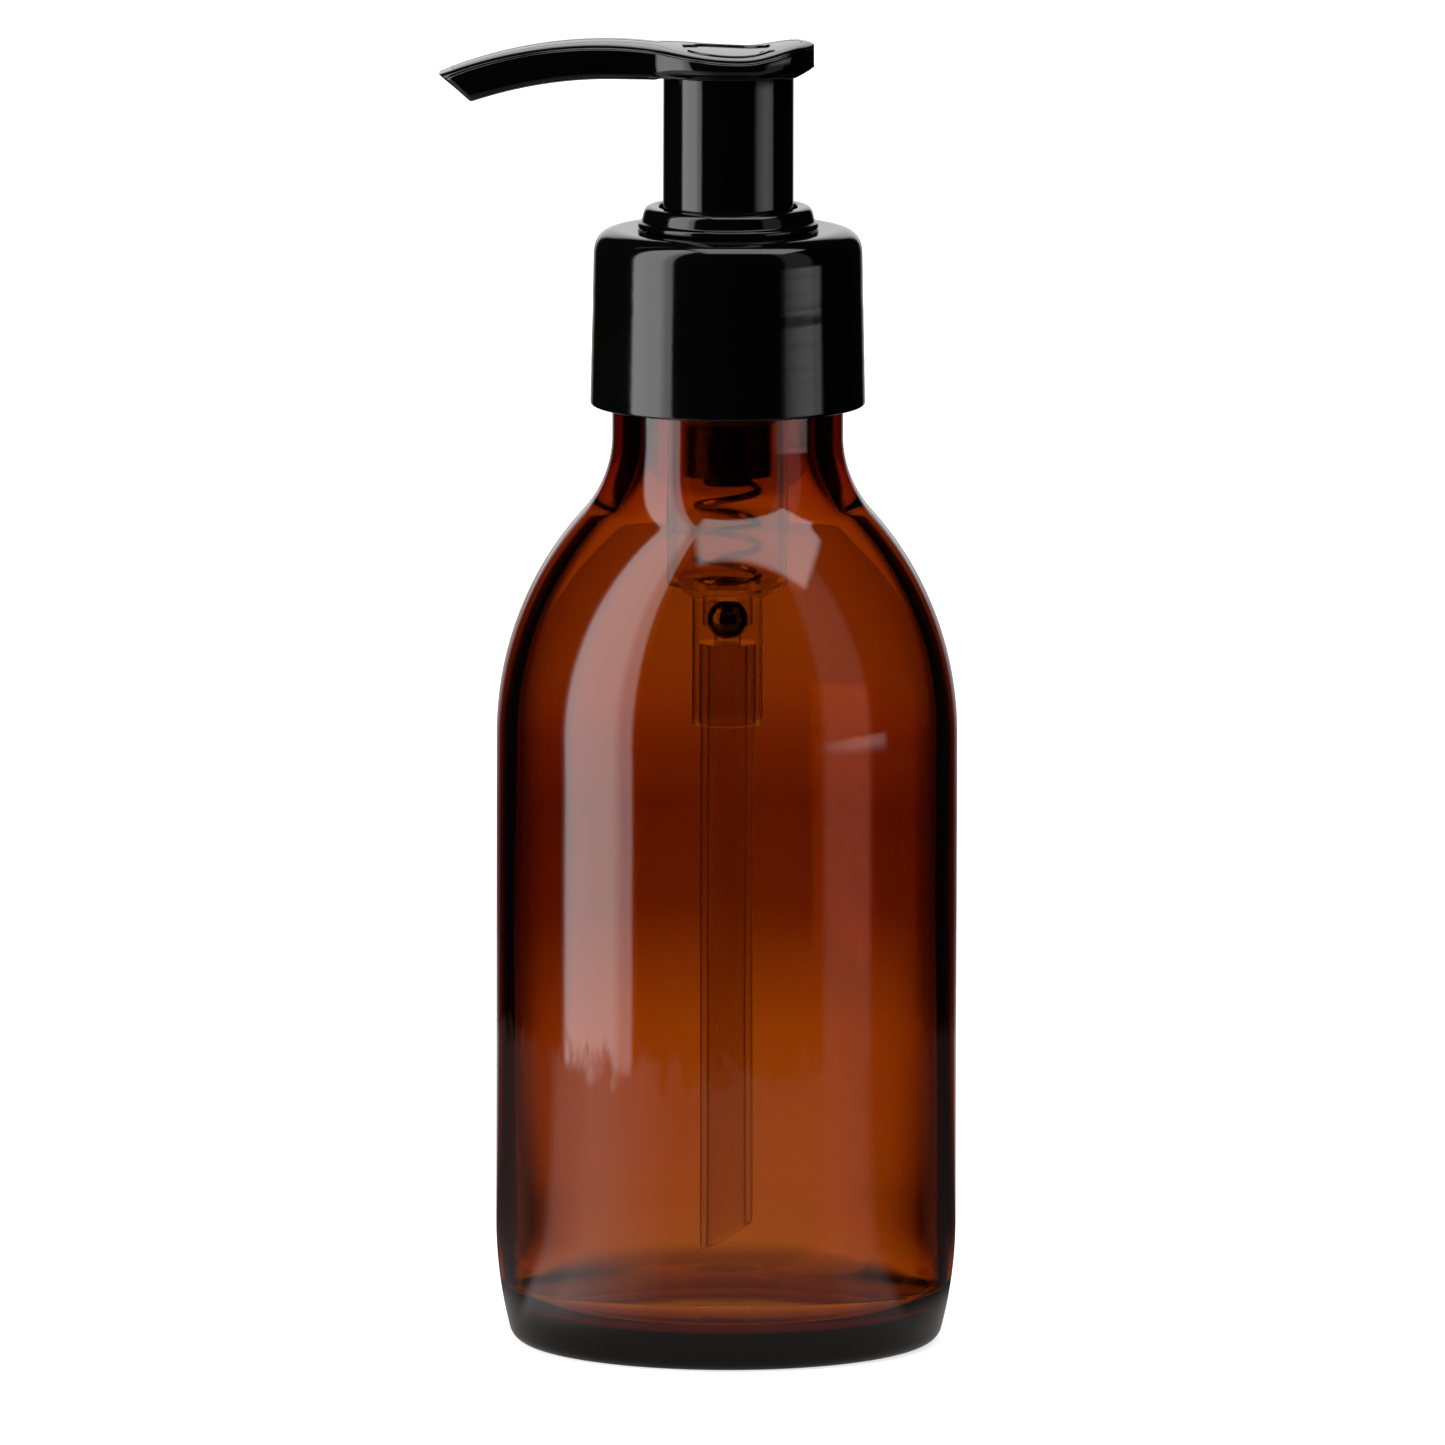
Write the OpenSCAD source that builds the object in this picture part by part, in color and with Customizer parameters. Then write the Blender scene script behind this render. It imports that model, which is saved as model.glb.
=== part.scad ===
// Lotion pump bottle: an amber glass bottle with a black screw-on dispenser pump.
// Millimetres. The origin is the middle of the bottle's bearing ring, +Z is up and the spout points to -X.
// Each node is one physical piece, drawn where it sits with the head up and the collar tight.

/* [Bottle] */
// Outside radius of the bottle's straight body
body_r = 26.25; // [22:0.05:32]
// Height at which the shoulder arc starts
shoulder_z = 70; // [60:0.5:80]
// Radius of the shoulder arc
shoulder_arc = 38; // [36:0.5:46]
// Outside radius of the plain neck
neck_r = 13.15; // [13:0.05:14]
// Radius of the fillet between shoulder and neck
neck_fillet = 13; // [6:0.1:16]
// Wall thickness of the body
wall = 2.2; // [1.6:0.1:3]
// Bore radius of the neck
neck_bore = 10; // [9.3:0.05:10]
// Height of the lip
lip_z = 123; // [121:0.1:125]
// Height of the push-up in the base
push_up = 1.2; // [0.4:0.1:2]

/* [Screw thread] */
// Thread pitch
pitch = 4.23; // [4:0.01:4.4]
// Thread root radius on the neck
thread_root = 12.5; // [12.3:0.05:12.7]
// Thread crest radius on the neck
thread_crest = 13.75; // [13.6:0.05:13.8]
// Turns of thread on the neck
neck_turns = 1.5; // [1:0.25:2]
// Turns of thread in the collar
collar_turns = 1.25; // [1:0.25:1.5]

/* [Collar] */
// Outside radius at the collar's lower edge
collar_r = 15.65; // [15.2:0.05:16.5]
// Outside radius at the collar's upper edge
collar_top_r = 15.24; // [14.8:0.02:15.6]
// Lower edge of the collar
collar_z = 107.7; // [106:0.1:109]
// Top face of the collar
collar_top = 127.8; // [127:0.1:129]
// Radius of the collar's upper edge
collar_round = 3; // [1:0.1:3.5]

/* [Pump body] */
// Bore radius of the pump barrel
barrel_bore = 6; // [5:0.05:6.2]
// Outside radius of the pump barrel
barrel_r = 6.9; // [6.6:0.05:7]
// Outside radius of the tail that holds the dip tube
tail_r = 4; // [3.6:0.05:4.4]
// Lower end of the tail
tail_z = 70.9; // [65:0.1:75]
// Radius of the check ball
ball_r = 2.3; // [2:0.05:2.5]
// Outside radius of the dip tube
tube_r = 3; // [2.5:0.05:3]
// Bore radius of the dip tube
tube_bore = 2.1; // [1.5:0.05:2.4]
// Lowest point of the dip tube
tube_z = 10.4; // [8:0.1:30]

/* [Lock ring] */
// Radius of the ring's opening
ring_bore = 7.85; // [7.6:0.05:8]
// Top of the ring
ring_top = 130.4; // [129.5:0.1:131.5]
// Radius of the ring's foot
ring_foot_r = 10.3; // [9.9:0.05:11]

/* [Plunger] */
// How far the head can be pressed
stroke = 12; // [8:0.5:12]
// How far the piston slips on the stem
slip = 0.8; // [0.4:0.1:0.8]
// Radius of the stem
stem_r = 2.75; // [2.5:0.05:2.8]
// Coils in the return spring
spring_coils = 6.5; // [5:0.5:7]
// Wire radius of the return spring
wire_r = 0.4; // [0.3:0.05:0.45]

/* [Head] */
// Outside radius of the sleeve
sleeve_r = 7.44; // [7.2:0.02:7.5]
// Underside of the head
head_z = 145.6; // [144:0.1:147]
// Highest point of the arched spout
crest_z = 149.33; // [148.5:0.05:150.5]
// Reach of the spout from the axis
spout_reach = 32.9; // [28:0.1:38]
// Half width that the spout's sides would reach at the axis
spout_half = 6; // [5:0.05:7]
// How much the spout's half width shrinks per millimetre towards its tip
spout_taper = 0.09; // [0.05:0.005:0.12]
// Half length of the thumb pad, along the spout
pad_a = 9.77; // [9:0.05:11]
// Half width of the thumb pad
pad_b = 8.8; // [8:0.05:10]
// Depth of the saddle in the thumb pad
saddle = 1.28; // [0.6:0.02:1.8]
// Height of the raised turn marks
mark_h = 0.18; // [0.1:0.01:0.3]

/* [Hidden] */
$fn = 96;
far = 200;

// Bottle
arc_x = body_r - shoulder_arc;
fillet_x = neck_r + neck_fillet;
fillet_z = shoulder_z + sqrt(pow(shoulder_arc + neck_fillet, 2) - pow(fillet_x - arc_x, 2));
join_z = shoulder_z + (fillet_z - shoulder_z) * shoulder_arc / (shoulder_arc + neck_fillet);
join_r = arc_x + (fillet_x - arc_x) * shoulder_arc / (shoulder_arc + neck_fillet);
heel_top = 14;
heel_arc = 50;
heel_round = 2;
heel_dz = heel_top - heel_round;
foot_r = body_r - heel_arc + sqrt(pow(heel_arc - heel_round, 2) - heel_dz * heel_dz);
heel_join_z = heel_top - heel_dz * heel_arc / (heel_arc - heel_round);
inner_r = body_r - wall;
inner_arc = shoulder_arc - wall;
inner_fillet = 12;
inner_x = neck_bore + inner_fillet;
inner_z = shoulder_z + sqrt(pow(inner_arc + inner_fillet, 2) - pow(inner_x - arc_x, 2));
inner_join_z = shoulder_z + (inner_z - shoulder_z) * inner_arc / (inner_arc + inner_fillet);
floor_z = 4.2;
floor_round = 3.4;
rim_width = 1.4;
bowl_r = foot_r - rim_width;
bowl_arc = (bowl_r * bowl_r + push_up * push_up) / (2 * push_up);
neck_step = 108.6;

// Threads: the collar's ridge lies under the neck's ridge with a little play
neck_ridge_top = 120.2;
ridge_w = 2.1;
ridge_crest_w = 1.1;
flank_play = 0.12;
collar_bore = 14;
collar_crest = 12.8;
neck_ridge_z = neck_ridge_top - neck_turns * pitch;
thread_drop = ridge_w - 0.48 + flank_play;
collar_ridge_z = neck_ridge_z - thread_drop + pitch;
steps = 40;

// Collar and seal
collar_wall_top = 1.8;
ceiling = collar_top - collar_wall_top;
collar_hole = 9.5;
gasket_z = lip_z + 0.02;
gasket_h = 1.1;
flange_z = gasket_z + gasket_h + 0.03;
flange_top = ceiling - 0.15;
flange_r = 12.7;

// Pump body
cup_bore = 8.42;
cup_r = 9.15;
cup_top = collar_top + 0.15;
step_z = 112.2;
step_h = 1.2;
cone_z = 86.9;
tail_top = 85.4;
ledge_z = 86.2;
ledge_r = 4.2;
bore_z = 88;
cage_r = 2.65;
seat_z = 81;
seat_r = 1.4;
ball_z = seat_z - seat_r + ball_r * sqrt(2) + 0.02;
ball_lift = 0.8;
nib_r = 1.9;
nib_z = ball_z + ball_lift + sqrt(ball_r * ball_r - nib_r * nib_r) + 0.06;
nib_h = 0.7;
socket_top = 80.2;
vent_z = 109.4;
tube_top = socket_top - 0.1;
tube_slant = 29;

// Lock ring
ring_z = cup_top + 0.02;
guide_r = cup_bore - 0.02;
guide_floor = step_z + step_h + 0.02;
guide_h = 1;
stem_play = 0.07;

// Plunger
plug_z = 99.6;
plug_r = 5;
plug_wall = 0.7;
plug_top = 105.8;
plug_disc = 1;
stub_z = ledge_z + stroke + 0.3;
shank_r = 1.58;
shank_top = 111;
stem_bore = 1.6;
stem_z = 107;
stem_top = 145.5;
window_r = 0.95;
window_z = 108.4;
piston_z = plug_top + 0.02;
piston_top = 112;
piston_play = 0.03;
waist_r = 5.55;
hub_z = 110.2;
chamber_r = 3.7;
shoulder_lo = piston_top + slip + 0.05;
shoulder_hi = guide_floor - 0.08;
shoulder_r = 3.5;
spring_r = 3.5;
spring_lo = ledge_z + wire_r + 0.02;
spring_hi = plug_top - plug_disc - wire_r - 0.02;
spring_steps = 26;
wire_sides = 9;

// Head
sleeve_z = 126.7;
sleeve_wall = 0.85;
sleeve_rise = head_z - 0.02;
spigot_r = sleeve_r - sleeve_wall - 0.02;
spigot_wall = 0.8;
spigot_h = 2.4;
boss_r = 4.3;
boss_z = 137.5;
crest_x = -14;
top_arc = 49.5;
low_arc = 48;
low_x = -13;
dip_x = 1.7;
back_z = crest_z - 0.08;
back_run = 7.8;
shoulder_d = 0.45;
spout_drop = 0.25;
pad_low = 7.7;
cover_t = 0.9;
cover_gap = 0.04;
cover_a = 8.3;
cover_b = 6.3;
cover_half = 1.45;
blend_power = 10;
tip_x = -spout_reach;
tip_slant = 3.3;
tip_end = 1.4;
slant_end = -22;
channel_half = 1.05;
channel_deep = 1.6;
channel_low = 1.2;
mark_r = 5.15;
mark_w = 0.75;
mark_sweep = 58;

// Height of the head's top along its middle.
function top_z(x) =
    x < crest_x ? crest_z - top_arc + sqrt(top_arc * top_arc - pow(x - crest_x, 2)) :
    x < dip_x ? crest_z - saddle * (1 - cos(180 * (x - crest_x) / (dip_x - crest_x))) / 2 :
    back_z - (saddle - 0.08) * (1 + cos(180 * min(1, (x - dip_x) / back_run))) / 2
        - 0.3 * pow(max(0, x - 8.5) / (pad_a - 8.5), 2);

// 0 at x = a, 1 at x = b, and even between and beyond them.
function ramp(x, a, b) = min(1, max(0, (x - a) / (b - a)));

// Height of the head's underside: the spout's lies a little lower than the sleeve's top.
function low_z(x) =
    head_z - spout_drop * ramp(x, -sleeve_r - 0.15, -sleeve_r - 1) + 0.7 * ramp(x, sleeve_r + 0.15, pad_a)
        - (x < low_x ? low_arc - sqrt(low_arc * low_arc - pow(x - low_x, 2)) : 0);

// Smooth larger of two widths.
function blend(a, b) = pow(pow(a, blend_power) + pow(b, blend_power), 1 / blend_power);

// Half width of an oval pad that runs out into a strip towards -X.
function oval(x, a, b, strip) =
    blend(b * sqrt(max(0, 1 - x * x / (a * a))), strip * (x < 0 ? 1 : max(0, 1 - x / 3)));

// Half width of the spout's strip.
function strip_half(x) = spout_half + spout_taper * min(0, x);

// Half width of the head: the spout's end is rounded.
function head_half(x) =
    max(0.9, oval(x, pad_a, pad_b, strip_half(x))) * (x > tip_x + tip_end ? 1 :
        0.72 + 0.28 * sqrt(max(0, 1 - pow((tip_x + tip_end - x) / tip_end, 2))));

// Half width of the head at its underside, which narrows to the sleeve below the thumb pad.
function low_half(x) =
    min(head_half(x) - 0.1, max(0.8, oval(x, pad_a - 0.15, pad_low, strip_half(x) - 0.1)));

// Radius of the head's lower edge: small where it meets the sleeve.
function edge_r(x) =
    min(head_half(x) * 0.5, 0.25 + 0.65 * max(ramp(x, -7.5, -9), ramp(x, 7.6, 8.8)));

// Half width of the head's flat top.
function flat_half(x) =
    min(
        oval(x, cover_a + 0.15, cover_b + 0.15, cover_half + 0.1),
        head_half(x) * 0.62 + 0.6,
        head_half(x) - 0.35
    );

// A section of the head at x: how far along, across and up each point of one half is.
function half_section(x) =
    let(
        w = head_half(x),
        f = flat_half(x),
        t = top_z(x),
        tip = max(0, 1 - (x - tip_x) / 1.3),
        b = low_z(x + lean(x)) + 0.7 * (1 - sqrt(1 - tip * tip)),
        e = t - shoulder_d,
        c = edge_r(x),
        v = low_half(x)
    )
    [
        [f, t],
        for (a = [22.5 : 22.5 : 67.5]) [f + (w - 0.25 - f) * sin(a), e + shoulder_d * cos(a)],
        [w - 0.25, e],
        [w - 0.07, e - 0.1],
        [w, e - 0.3],
        [v, b + c],
        for (a = [22.5 : 22.5 : 67.5]) [v - c + c * cos(a), b + c - c * sin(a)],
        [v - c, b]
    ];

// How far the lower edge of a section leads its upper edge: the spout's end is cut back.
function lean(x) = x > slant_end ? 0 : tip_slant * pow((slant_end - x) / (slant_end - tip_x), 2);

function section(x) =
    let(
        h = half_section(x),
        n = len(h),
        t = h[0][1],
        b = h[n - 1][1],
        ring = [each h, for (i = [n - 1 : -1 : 0]) [-h[i][0], h[i][1]]]
    )
    [for (p = ring) [x + lean(x) * (t - p[1]) / (t - b), p[0], p[1]]];

stations = [
    tip_x, tip_x + 0.15, tip_x + 0.45, tip_x + 0.9,
    for (x = [tip_x + tip_end : 1.3 : -11]) x,
    for (x = [-10.6 : 0.75 : 8]) x,
    8.5, 8.9, 9.2, 9.45, 9.62, 9.73
];

// Solid through a list of closed rings with equal numbers of points.
module loft(rings) {
    m = len(rings[0]);
    n = len(rings);
    points = [for (r = rings) each r];
    sides = [
        for (i = [0 : n - 2], j = [0 : m - 1])
            each [
                [i * m + j, i * m + (j + 1) % m, (i + 1) * m + j],
                [i * m + (j + 1) % m, (i + 1) * m + (j + 1) % m, (i + 1) * m + j]
            ]
    ];
    first = [for (j = [m - 1 : -1 : 0]) j];
    last = [for (j = [0 : m - 1]) (n - 1) * m + j];
    polyhedron(points, [first, last, each sides], convexity = 8);
}

// Screw ridge: r0 is buried in the wall, r1 is the crest, z is the middle at its lower end.
module ridge(r0, r1, z, turns) {
    n = ceil(turns * steps);
    w = ridge_w / 2;
    c = ridge_crest_w / 2;
    out = r1 > r0 ? 1 : -1;
    rings = [
        for (i = [0 : n])
            let(
                a = 360 * turns * i / n,
                h = z + pitch * turns * i / n,
                fade = min(1, 0.25 + min(i, n - i) / 5),
                r = r0 + (r1 - r0) * fade,
                k = w + (c - w) * fade,
                pts = [[r0, h - w], [r, h - k], [r, h + k], [r0, h + w]],
                q = out > 0 ? pts : [for (j = [3 : -1 : 0]) pts[j]]
            )
            [for (p = q) [p[0] * cos(a), p[0] * sin(a), p[1]]]
    ];
    loft(rings);
}

// Side profile of the head between two offsets below its top, swept across its width.
module slab(lo, hi, x0, x1) {
    n = 64;
    xs = [for (i = [0 : n]) x0 + (x1 - x0) * i / n];
    up = [for (x = xs) [x, top_z(x) - lo]];
    down = [for (i = [n : -1 : 0]) [xs[i], top_z(xs[i]) - hi]];
    rotate([90, 0, 0])
        linear_extrude(height = 30, center = true)
            polygon([each up, each down]);
}

// Outline of the inlaid cover seen from above.
module cover_plan(gap) {
    n = 72;
    x0 = tip_x + 1.5 + gap;
    x1 = cover_a - gap;
    xs = [for (i = [0 : n]) x0 + (x1 - x0) * (1 - cos(180 * i / n)) / 2];
    ys = [for (x = xs) max(0.4, oval(x, cover_a, cover_b, cover_half)) - gap];
    polygon([for (i = [0 : n]) [xs[i], ys[i]], for (i = [n : -1 : 0]) [xs[i], -ys[i]]]);
}

// One curved arrow around the axis.
module arrow() {
    head = mark_sweep;
    difference() {
        circle(mark_r + mark_w / 2);
        circle(mark_r - mark_w / 2);
        polygon([
            [0, 0], [far * cos(head), far * sin(head)], [-far, far],
            [-far, -far], [far * cos(head), -far * sin(head)]
        ]);
    }
    rotate(head)
        polygon([[mark_r - 1.05, -0.01], [mark_r + 1.05, -0.01], [mark_r - 0.05, 1.9]]);
}

module bottle_outside() {
    intersection() {
        translate([arc_x, shoulder_z])
            circle(shoulder_arc);
        translate([0, shoulder_z])
            square([body_r, join_z - shoulder_z]);
    }
    translate([0, heel_top])
        square([body_r, shoulder_z - heel_top]);
    intersection() {
        translate([body_r - heel_arc, heel_top])
            circle(heel_arc);
        translate([0, heel_join_z])
            square([body_r, heel_top - heel_join_z]);
    }
    intersection() {
        translate([foot_r, heel_round])
            circle(heel_round);
        translate([foot_r, 0])
            square([body_r, heel_join_z]);
    }
    square([foot_r, heel_join_z]);
    translate([0, 1])
        square([neck_bore + 1, lip_z - 2]);
    difference() {
        translate([0, join_z])
            square([join_r, fillet_z - join_z]);
        translate([fillet_x, fillet_z])
            circle(neck_fillet);
    }
    polygon([
        [0, fillet_z], [neck_r, fillet_z], [neck_r, neck_step], [thread_root, neck_step + 0.8],
        [thread_root, lip_z - 0.8], [thread_root - 0.8, lip_z], [0, lip_z]
    ]);
    intersection() {
        translate([thread_root - 0.8, lip_z - 0.8])
            circle(0.8);
        translate([thread_root - 0.8, lip_z - 0.8])
            square(0.8);
    }
}

module bottle_inside() {
    intersection() {
        translate([arc_x, shoulder_z])
            circle(inner_arc);
        translate([0, shoulder_z])
            square([inner_r, inner_join_z - shoulder_z]);
    }
    translate([0, floor_z + floor_round])
        square([inner_r, shoulder_z - floor_z - floor_round]);
    translate([0, floor_z])
        square([inner_r - floor_round, floor_round]);
    intersection() {
        translate([inner_r - floor_round, floor_z + floor_round])
            circle(floor_round);
        translate([inner_r - floor_round, floor_z])
            square(floor_round);
    }
    difference() {
        translate([0, inner_join_z])
            square([inner_x - inner_fillet / 2, inner_z - inner_join_z]);
        translate([inner_x, inner_z])
            circle(inner_fillet);
    }
    translate([0, floor_z + 1])
        square([neck_bore, lip_z - floor_z]);
}

module glass_bottle() {
    color([0.42, 0.16, 0.03, 0.6])
        union() {
            difference() {
                rotate_extrude()
                    difference() {
                        bottle_outside();
                        bottle_inside();
                    }
                translate([0, 0, push_up - bowl_arc])
                    sphere(bowl_arc);
            }
            ridge(thread_root - 0.2, thread_crest, neck_ridge_z, neck_turns);
        }
}

module screw_collar() {
    color([0.03, 0.03, 0.035])
        union() {
            rotate_extrude()
                difference() {
                    union() {
                        polygon([
                            [collar_hole, collar_z], [collar_r - 0.25, collar_z],
                            [collar_r, collar_z + 0.25], [collar_top_r, collar_top - collar_round],
                            [collar_top_r - collar_round, collar_top], [collar_hole, collar_top]
                        ]);
                        intersection() {
                            translate([collar_top_r - collar_round, collar_top - collar_round])
                                circle(collar_round);
                            translate([collar_top_r - collar_round, collar_top - collar_round])
                                square(collar_round);
                        }
                    }
                    translate([0, collar_z - 1])
                        square([collar_bore, ceiling - collar_z + 1]);
                }
            ridge(collar_bore + 0.2, collar_crest, collar_ridge_z, collar_turns);
        }
}

module neck_gasket() {
    color([0.9, 0.9, 0.88])
        translate([0, 0, gasket_z])
            difference() {
                cylinder(r = thread_root - 0.1, h = gasket_h);
                translate([0, 0, -1])
                    cylinder(r = cup_r + 0.12, h = gasket_h + 2);
            }
}

module pump_housing() {
    color([0.86, 0.87, 0.85, 0.55])
        difference() {
            union() {
                rotate_extrude()
                    polygon([
                        [seat_r, seat_z], [seat_r, socket_top], [tube_r + 0.02, socket_top],
                        [tube_r + 0.02, tail_z], [tail_r, tail_z], [tail_r, tail_top],
                        [barrel_r, cone_z], [barrel_r, step_z - 1.6], [cup_r, step_z],
                        [cup_r, flange_z], [flange_r, flange_z], [flange_r, flange_top],
                        [cup_r, flange_top], [cup_r, cup_top], [cup_bore, cup_top],
                        [cup_bore, step_z + step_h], [barrel_bore, step_z + step_h],
                        [barrel_bore, bore_z], [ledge_r, ledge_z], [cage_r, ledge_z],
                        [cage_r, seat_z + cage_r - seat_r]
                    ]);
                for (a = [45 : 90 : 315])
                    rotate([0, 0, a])
                        translate([nib_r, -0.5, nib_z])
                            cube([cage_r - nib_r + 0.3, 1, nib_h]);
            }
            translate([0, 0, vent_z])
                rotate([90, 0, 0])
                    cylinder(r = 0.5, h = barrel_r + 1);
        }
}

module lock_ring() {
    color([0.03, 0.03, 0.035])
        rotate_extrude()
            union() {
                polygon([
                    [stem_r + stem_play, guide_floor], [guide_r, guide_floor], [guide_r, ring_z],
                    [ring_foot_r - 0.2, ring_z], [ring_foot_r, ring_z + 0.2], [ring_foot_r, ring_z + 0.45],
                    [9.85, ring_z + 0.75], [9.5, ring_top - 0.9], [8.6, ring_top],
                    [ring_bore + 0.25, ring_top],
                    [ring_bore, ring_top - 0.25], [ring_bore, guide_floor + guide_h],
                    [stem_r + stem_play, guide_floor + guide_h]
                ]);
                intersection() {
                    translate([8.6, ring_top - 0.9])
                        circle(0.9);
                    translate([8.6, ring_top - 0.9])
                        square(0.9);
                }
            }
}

module dip_tube() {
    color([0.9, 0.9, 0.88, 0.5])
        difference() {
            translate([0, 0, tube_z - 1])
                cylinder(r = tube_r, h = tube_top - tube_z + 1);
            translate([0, 0, tube_z - 2])
                cylinder(r = tube_bore, h = far);
            translate([-tube_r, 0, tube_z])
                rotate([0, -tube_slant, 0])
                    translate([-20, -20, -40])
                        cube([60, 40, 40]);
        }
}

module check_ball() {
    color([0.75, 0.77, 0.8])
        translate([0, 0, ball_z])
            sphere(ball_r);
}

module return_spring() {
    n = round(spring_coils * spring_steps);
    dead = 0.9 / spring_coils;
    lay = 2 * wire_r + 0.04;
    rings = [
        for (i = [0 : n])
            let(
                u = i / n,
                a = 360 * spring_coils * u,
                low = spring_lo + lay * min(u, dead) / dead,
                mid = (spring_hi - spring_lo - 2 * lay) * min(1, max(0, (u - dead) / (1 - 2 * dead))),
                top = lay * max(0, u - 1 + dead) / dead,
                h = low + mid + top
            )
            [
                for (j = [0 : wire_sides - 1])
                    let(b = -360 * j / wire_sides, r = spring_r + wire_r * cos(b))
                    [r * cos(a), r * sin(a), h + wire_r * sin(b)]
            ]
    ];
    color([0.75, 0.76, 0.78])
        loft(rings);
}

module valve_plug() {
    color([0.04, 0.04, 0.045])
        difference() {
            union() {
                rotate_extrude()
                    polygon([
                        [0, stub_z], [stem_r - 0.4, stub_z], [stem_r, stub_z + 0.4],
                        [stem_r, plug_top - plug_disc], [plug_r - plug_wall, plug_top - plug_disc],
                        [plug_r - plug_wall, plug_z], [plug_r - 0.2, plug_z], [plug_r, plug_z + 0.2],
                        [plug_r, plug_top - 0.4], [plug_r - 0.4, plug_top], [2.2, plug_top],
                        [2.2, stem_z - 0.05], [shank_r, stem_z - 0.05], [shank_r, shank_top - 0.3],
                        [shank_r - 0.3, shank_top], [0, shank_top]
                    ]);
            }
            for (s = [-1, 1])
                translate([s * 2 - 1, -3, plug_top + 0.15])
                    cube([2, 6, 10]);
        }
}

module piston() {
    lip = barrel_bore - piston_play;
    color([0.88, 0.88, 0.85])
        rotate_extrude()
            polygon([
                [chamber_r, piston_z], [chamber_r + 0.5, piston_z], [waist_r - 0.6, piston_z + 0.6],
                [lip - 0.1, piston_z + 0.1], [lip, piston_z + 0.3], [lip, piston_z + 1],
                [waist_r, piston_z + 1.6], [waist_r, piston_top - 1.6],
                [lip, piston_top - 1], [lip, piston_top - 0.3], [lip - 0.1, piston_top - 0.1],
                [waist_r - 0.7, piston_top - 0.9], [waist_r - 0.9, piston_top - 0.9],
                [chamber_r + 0.4, piston_top], [stem_r + stem_play, piston_top], [stem_r + stem_play, hub_z],
                [chamber_r, hub_z - 0.7]
            ]);
}

module stem() {
    color([0.03, 0.03, 0.035])
        difference() {
            union() {
                translate([0, 0, stem_z])
                    cylinder(r = stem_r, h = stem_top - stem_z);
                translate([0, 0, shoulder_lo])
                    cylinder(r = shoulder_r, h = shoulder_hi - shoulder_lo);
            }
            translate([0, 0, stem_z - 1])
                cylinder(r = stem_bore, h = far);
            translate([0, 0, window_z])
                rotate([0, 90, 0])
                    cylinder(r = window_r, h = 20, center = true);
        }
}

module head_sleeve() {
    color([0.03, 0.03, 0.035])
        rotate_extrude()
            polygon([
                [sleeve_r - sleeve_wall, sleeve_z], [sleeve_r - 0.2, sleeve_z], [sleeve_r, sleeve_z + 0.2],
                [sleeve_r - 0.02, sleeve_rise], [sleeve_r - sleeve_wall, sleeve_rise]
            ]);
}

module head_body() {
    color([0.03, 0.03, 0.035])
        difference() {
            union() {
                loft([for (x = stations) section(x)]);
                translate([0, 0, boss_z])
                    cylinder(r = boss_r, h = head_z + 0.3 - boss_z);
                translate([0, 0, head_z - spigot_h])
                    difference() {
                        cylinder(r = spigot_r, h = spigot_h + 0.3);
                        translate([0, 0, -1])
                            cylinder(r = spigot_r - spigot_wall, h = spigot_h + 1);
                    }
            }
            translate([0, 0, boss_z - 1])
                cylinder(r = stem_r + 0.02, h = stem_top + 0.05 - boss_z + 1);
            translate([0, 0, boss_z])
                cylinder(r = stem_bore, h = head_z + 0.9 - boss_z);
            intersection() {
                slab(-4, cover_t, tip_x + 1, 9.5);
                translate([0, 0, 130])
                    linear_extrude(height = 30)
                        cover_plan(0);
            }
            intersection() {
                slab(0.5, cover_t + channel_low, -9, 1.5);
                translate([-9.5, -channel_half, 140])
                    cube([11, 2 * channel_half, 20]);
            }
            intersection() {
                slab(0.6, cover_t + channel_deep, tip_x - 2, -8.5);
                translate([tip_x - 3, -channel_half, 130])
                    cube([30, 2 * channel_half, 30]);
            }
        }
}

module head_cover() {
    color([0.035, 0.035, 0.04])
        union() {
            intersection() {
                slab(0, cover_t - cover_gap, tip_x + 1, 9.5);
                translate([0, 0, 130])
                    linear_extrude(height = 30)
                        cover_plan(cover_gap);
            }
            intersection() {
                slab(-mark_h, 0.2, -8, 8);
                translate([0, 0, 130])
                    linear_extrude(height = 30)
                        for (a = [-90, 90])
                            rotate(a)
                                arrow();
            }
        }
}

glass_bottle();
screw_collar();
neck_gasket();
pump_housing();
lock_ring();
dip_tube();
check_ball();
return_spring();
valve_plug();
piston();
stem();
head_sleeve();
head_body();
head_cover();
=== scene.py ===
"""A lotion pump bottle: black dispenser pump on an amber glass bottle, dressed for a studio still.

The frame holds the working design; this script gives it its surfaces. Shapes are worked out in
millimetres as numpy arrays and written into meshes in metres, in the frame's own axes: the bottle
stands on z = 0, its axis is the z axis, and the spout points to -x.
"""

import logging
import math
from collections.abc import Callable, Sequence
from dataclasses import dataclass, field
from enum import Enum

import bpy
import numpy as np
from mathutils import Matrix, Vector


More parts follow.
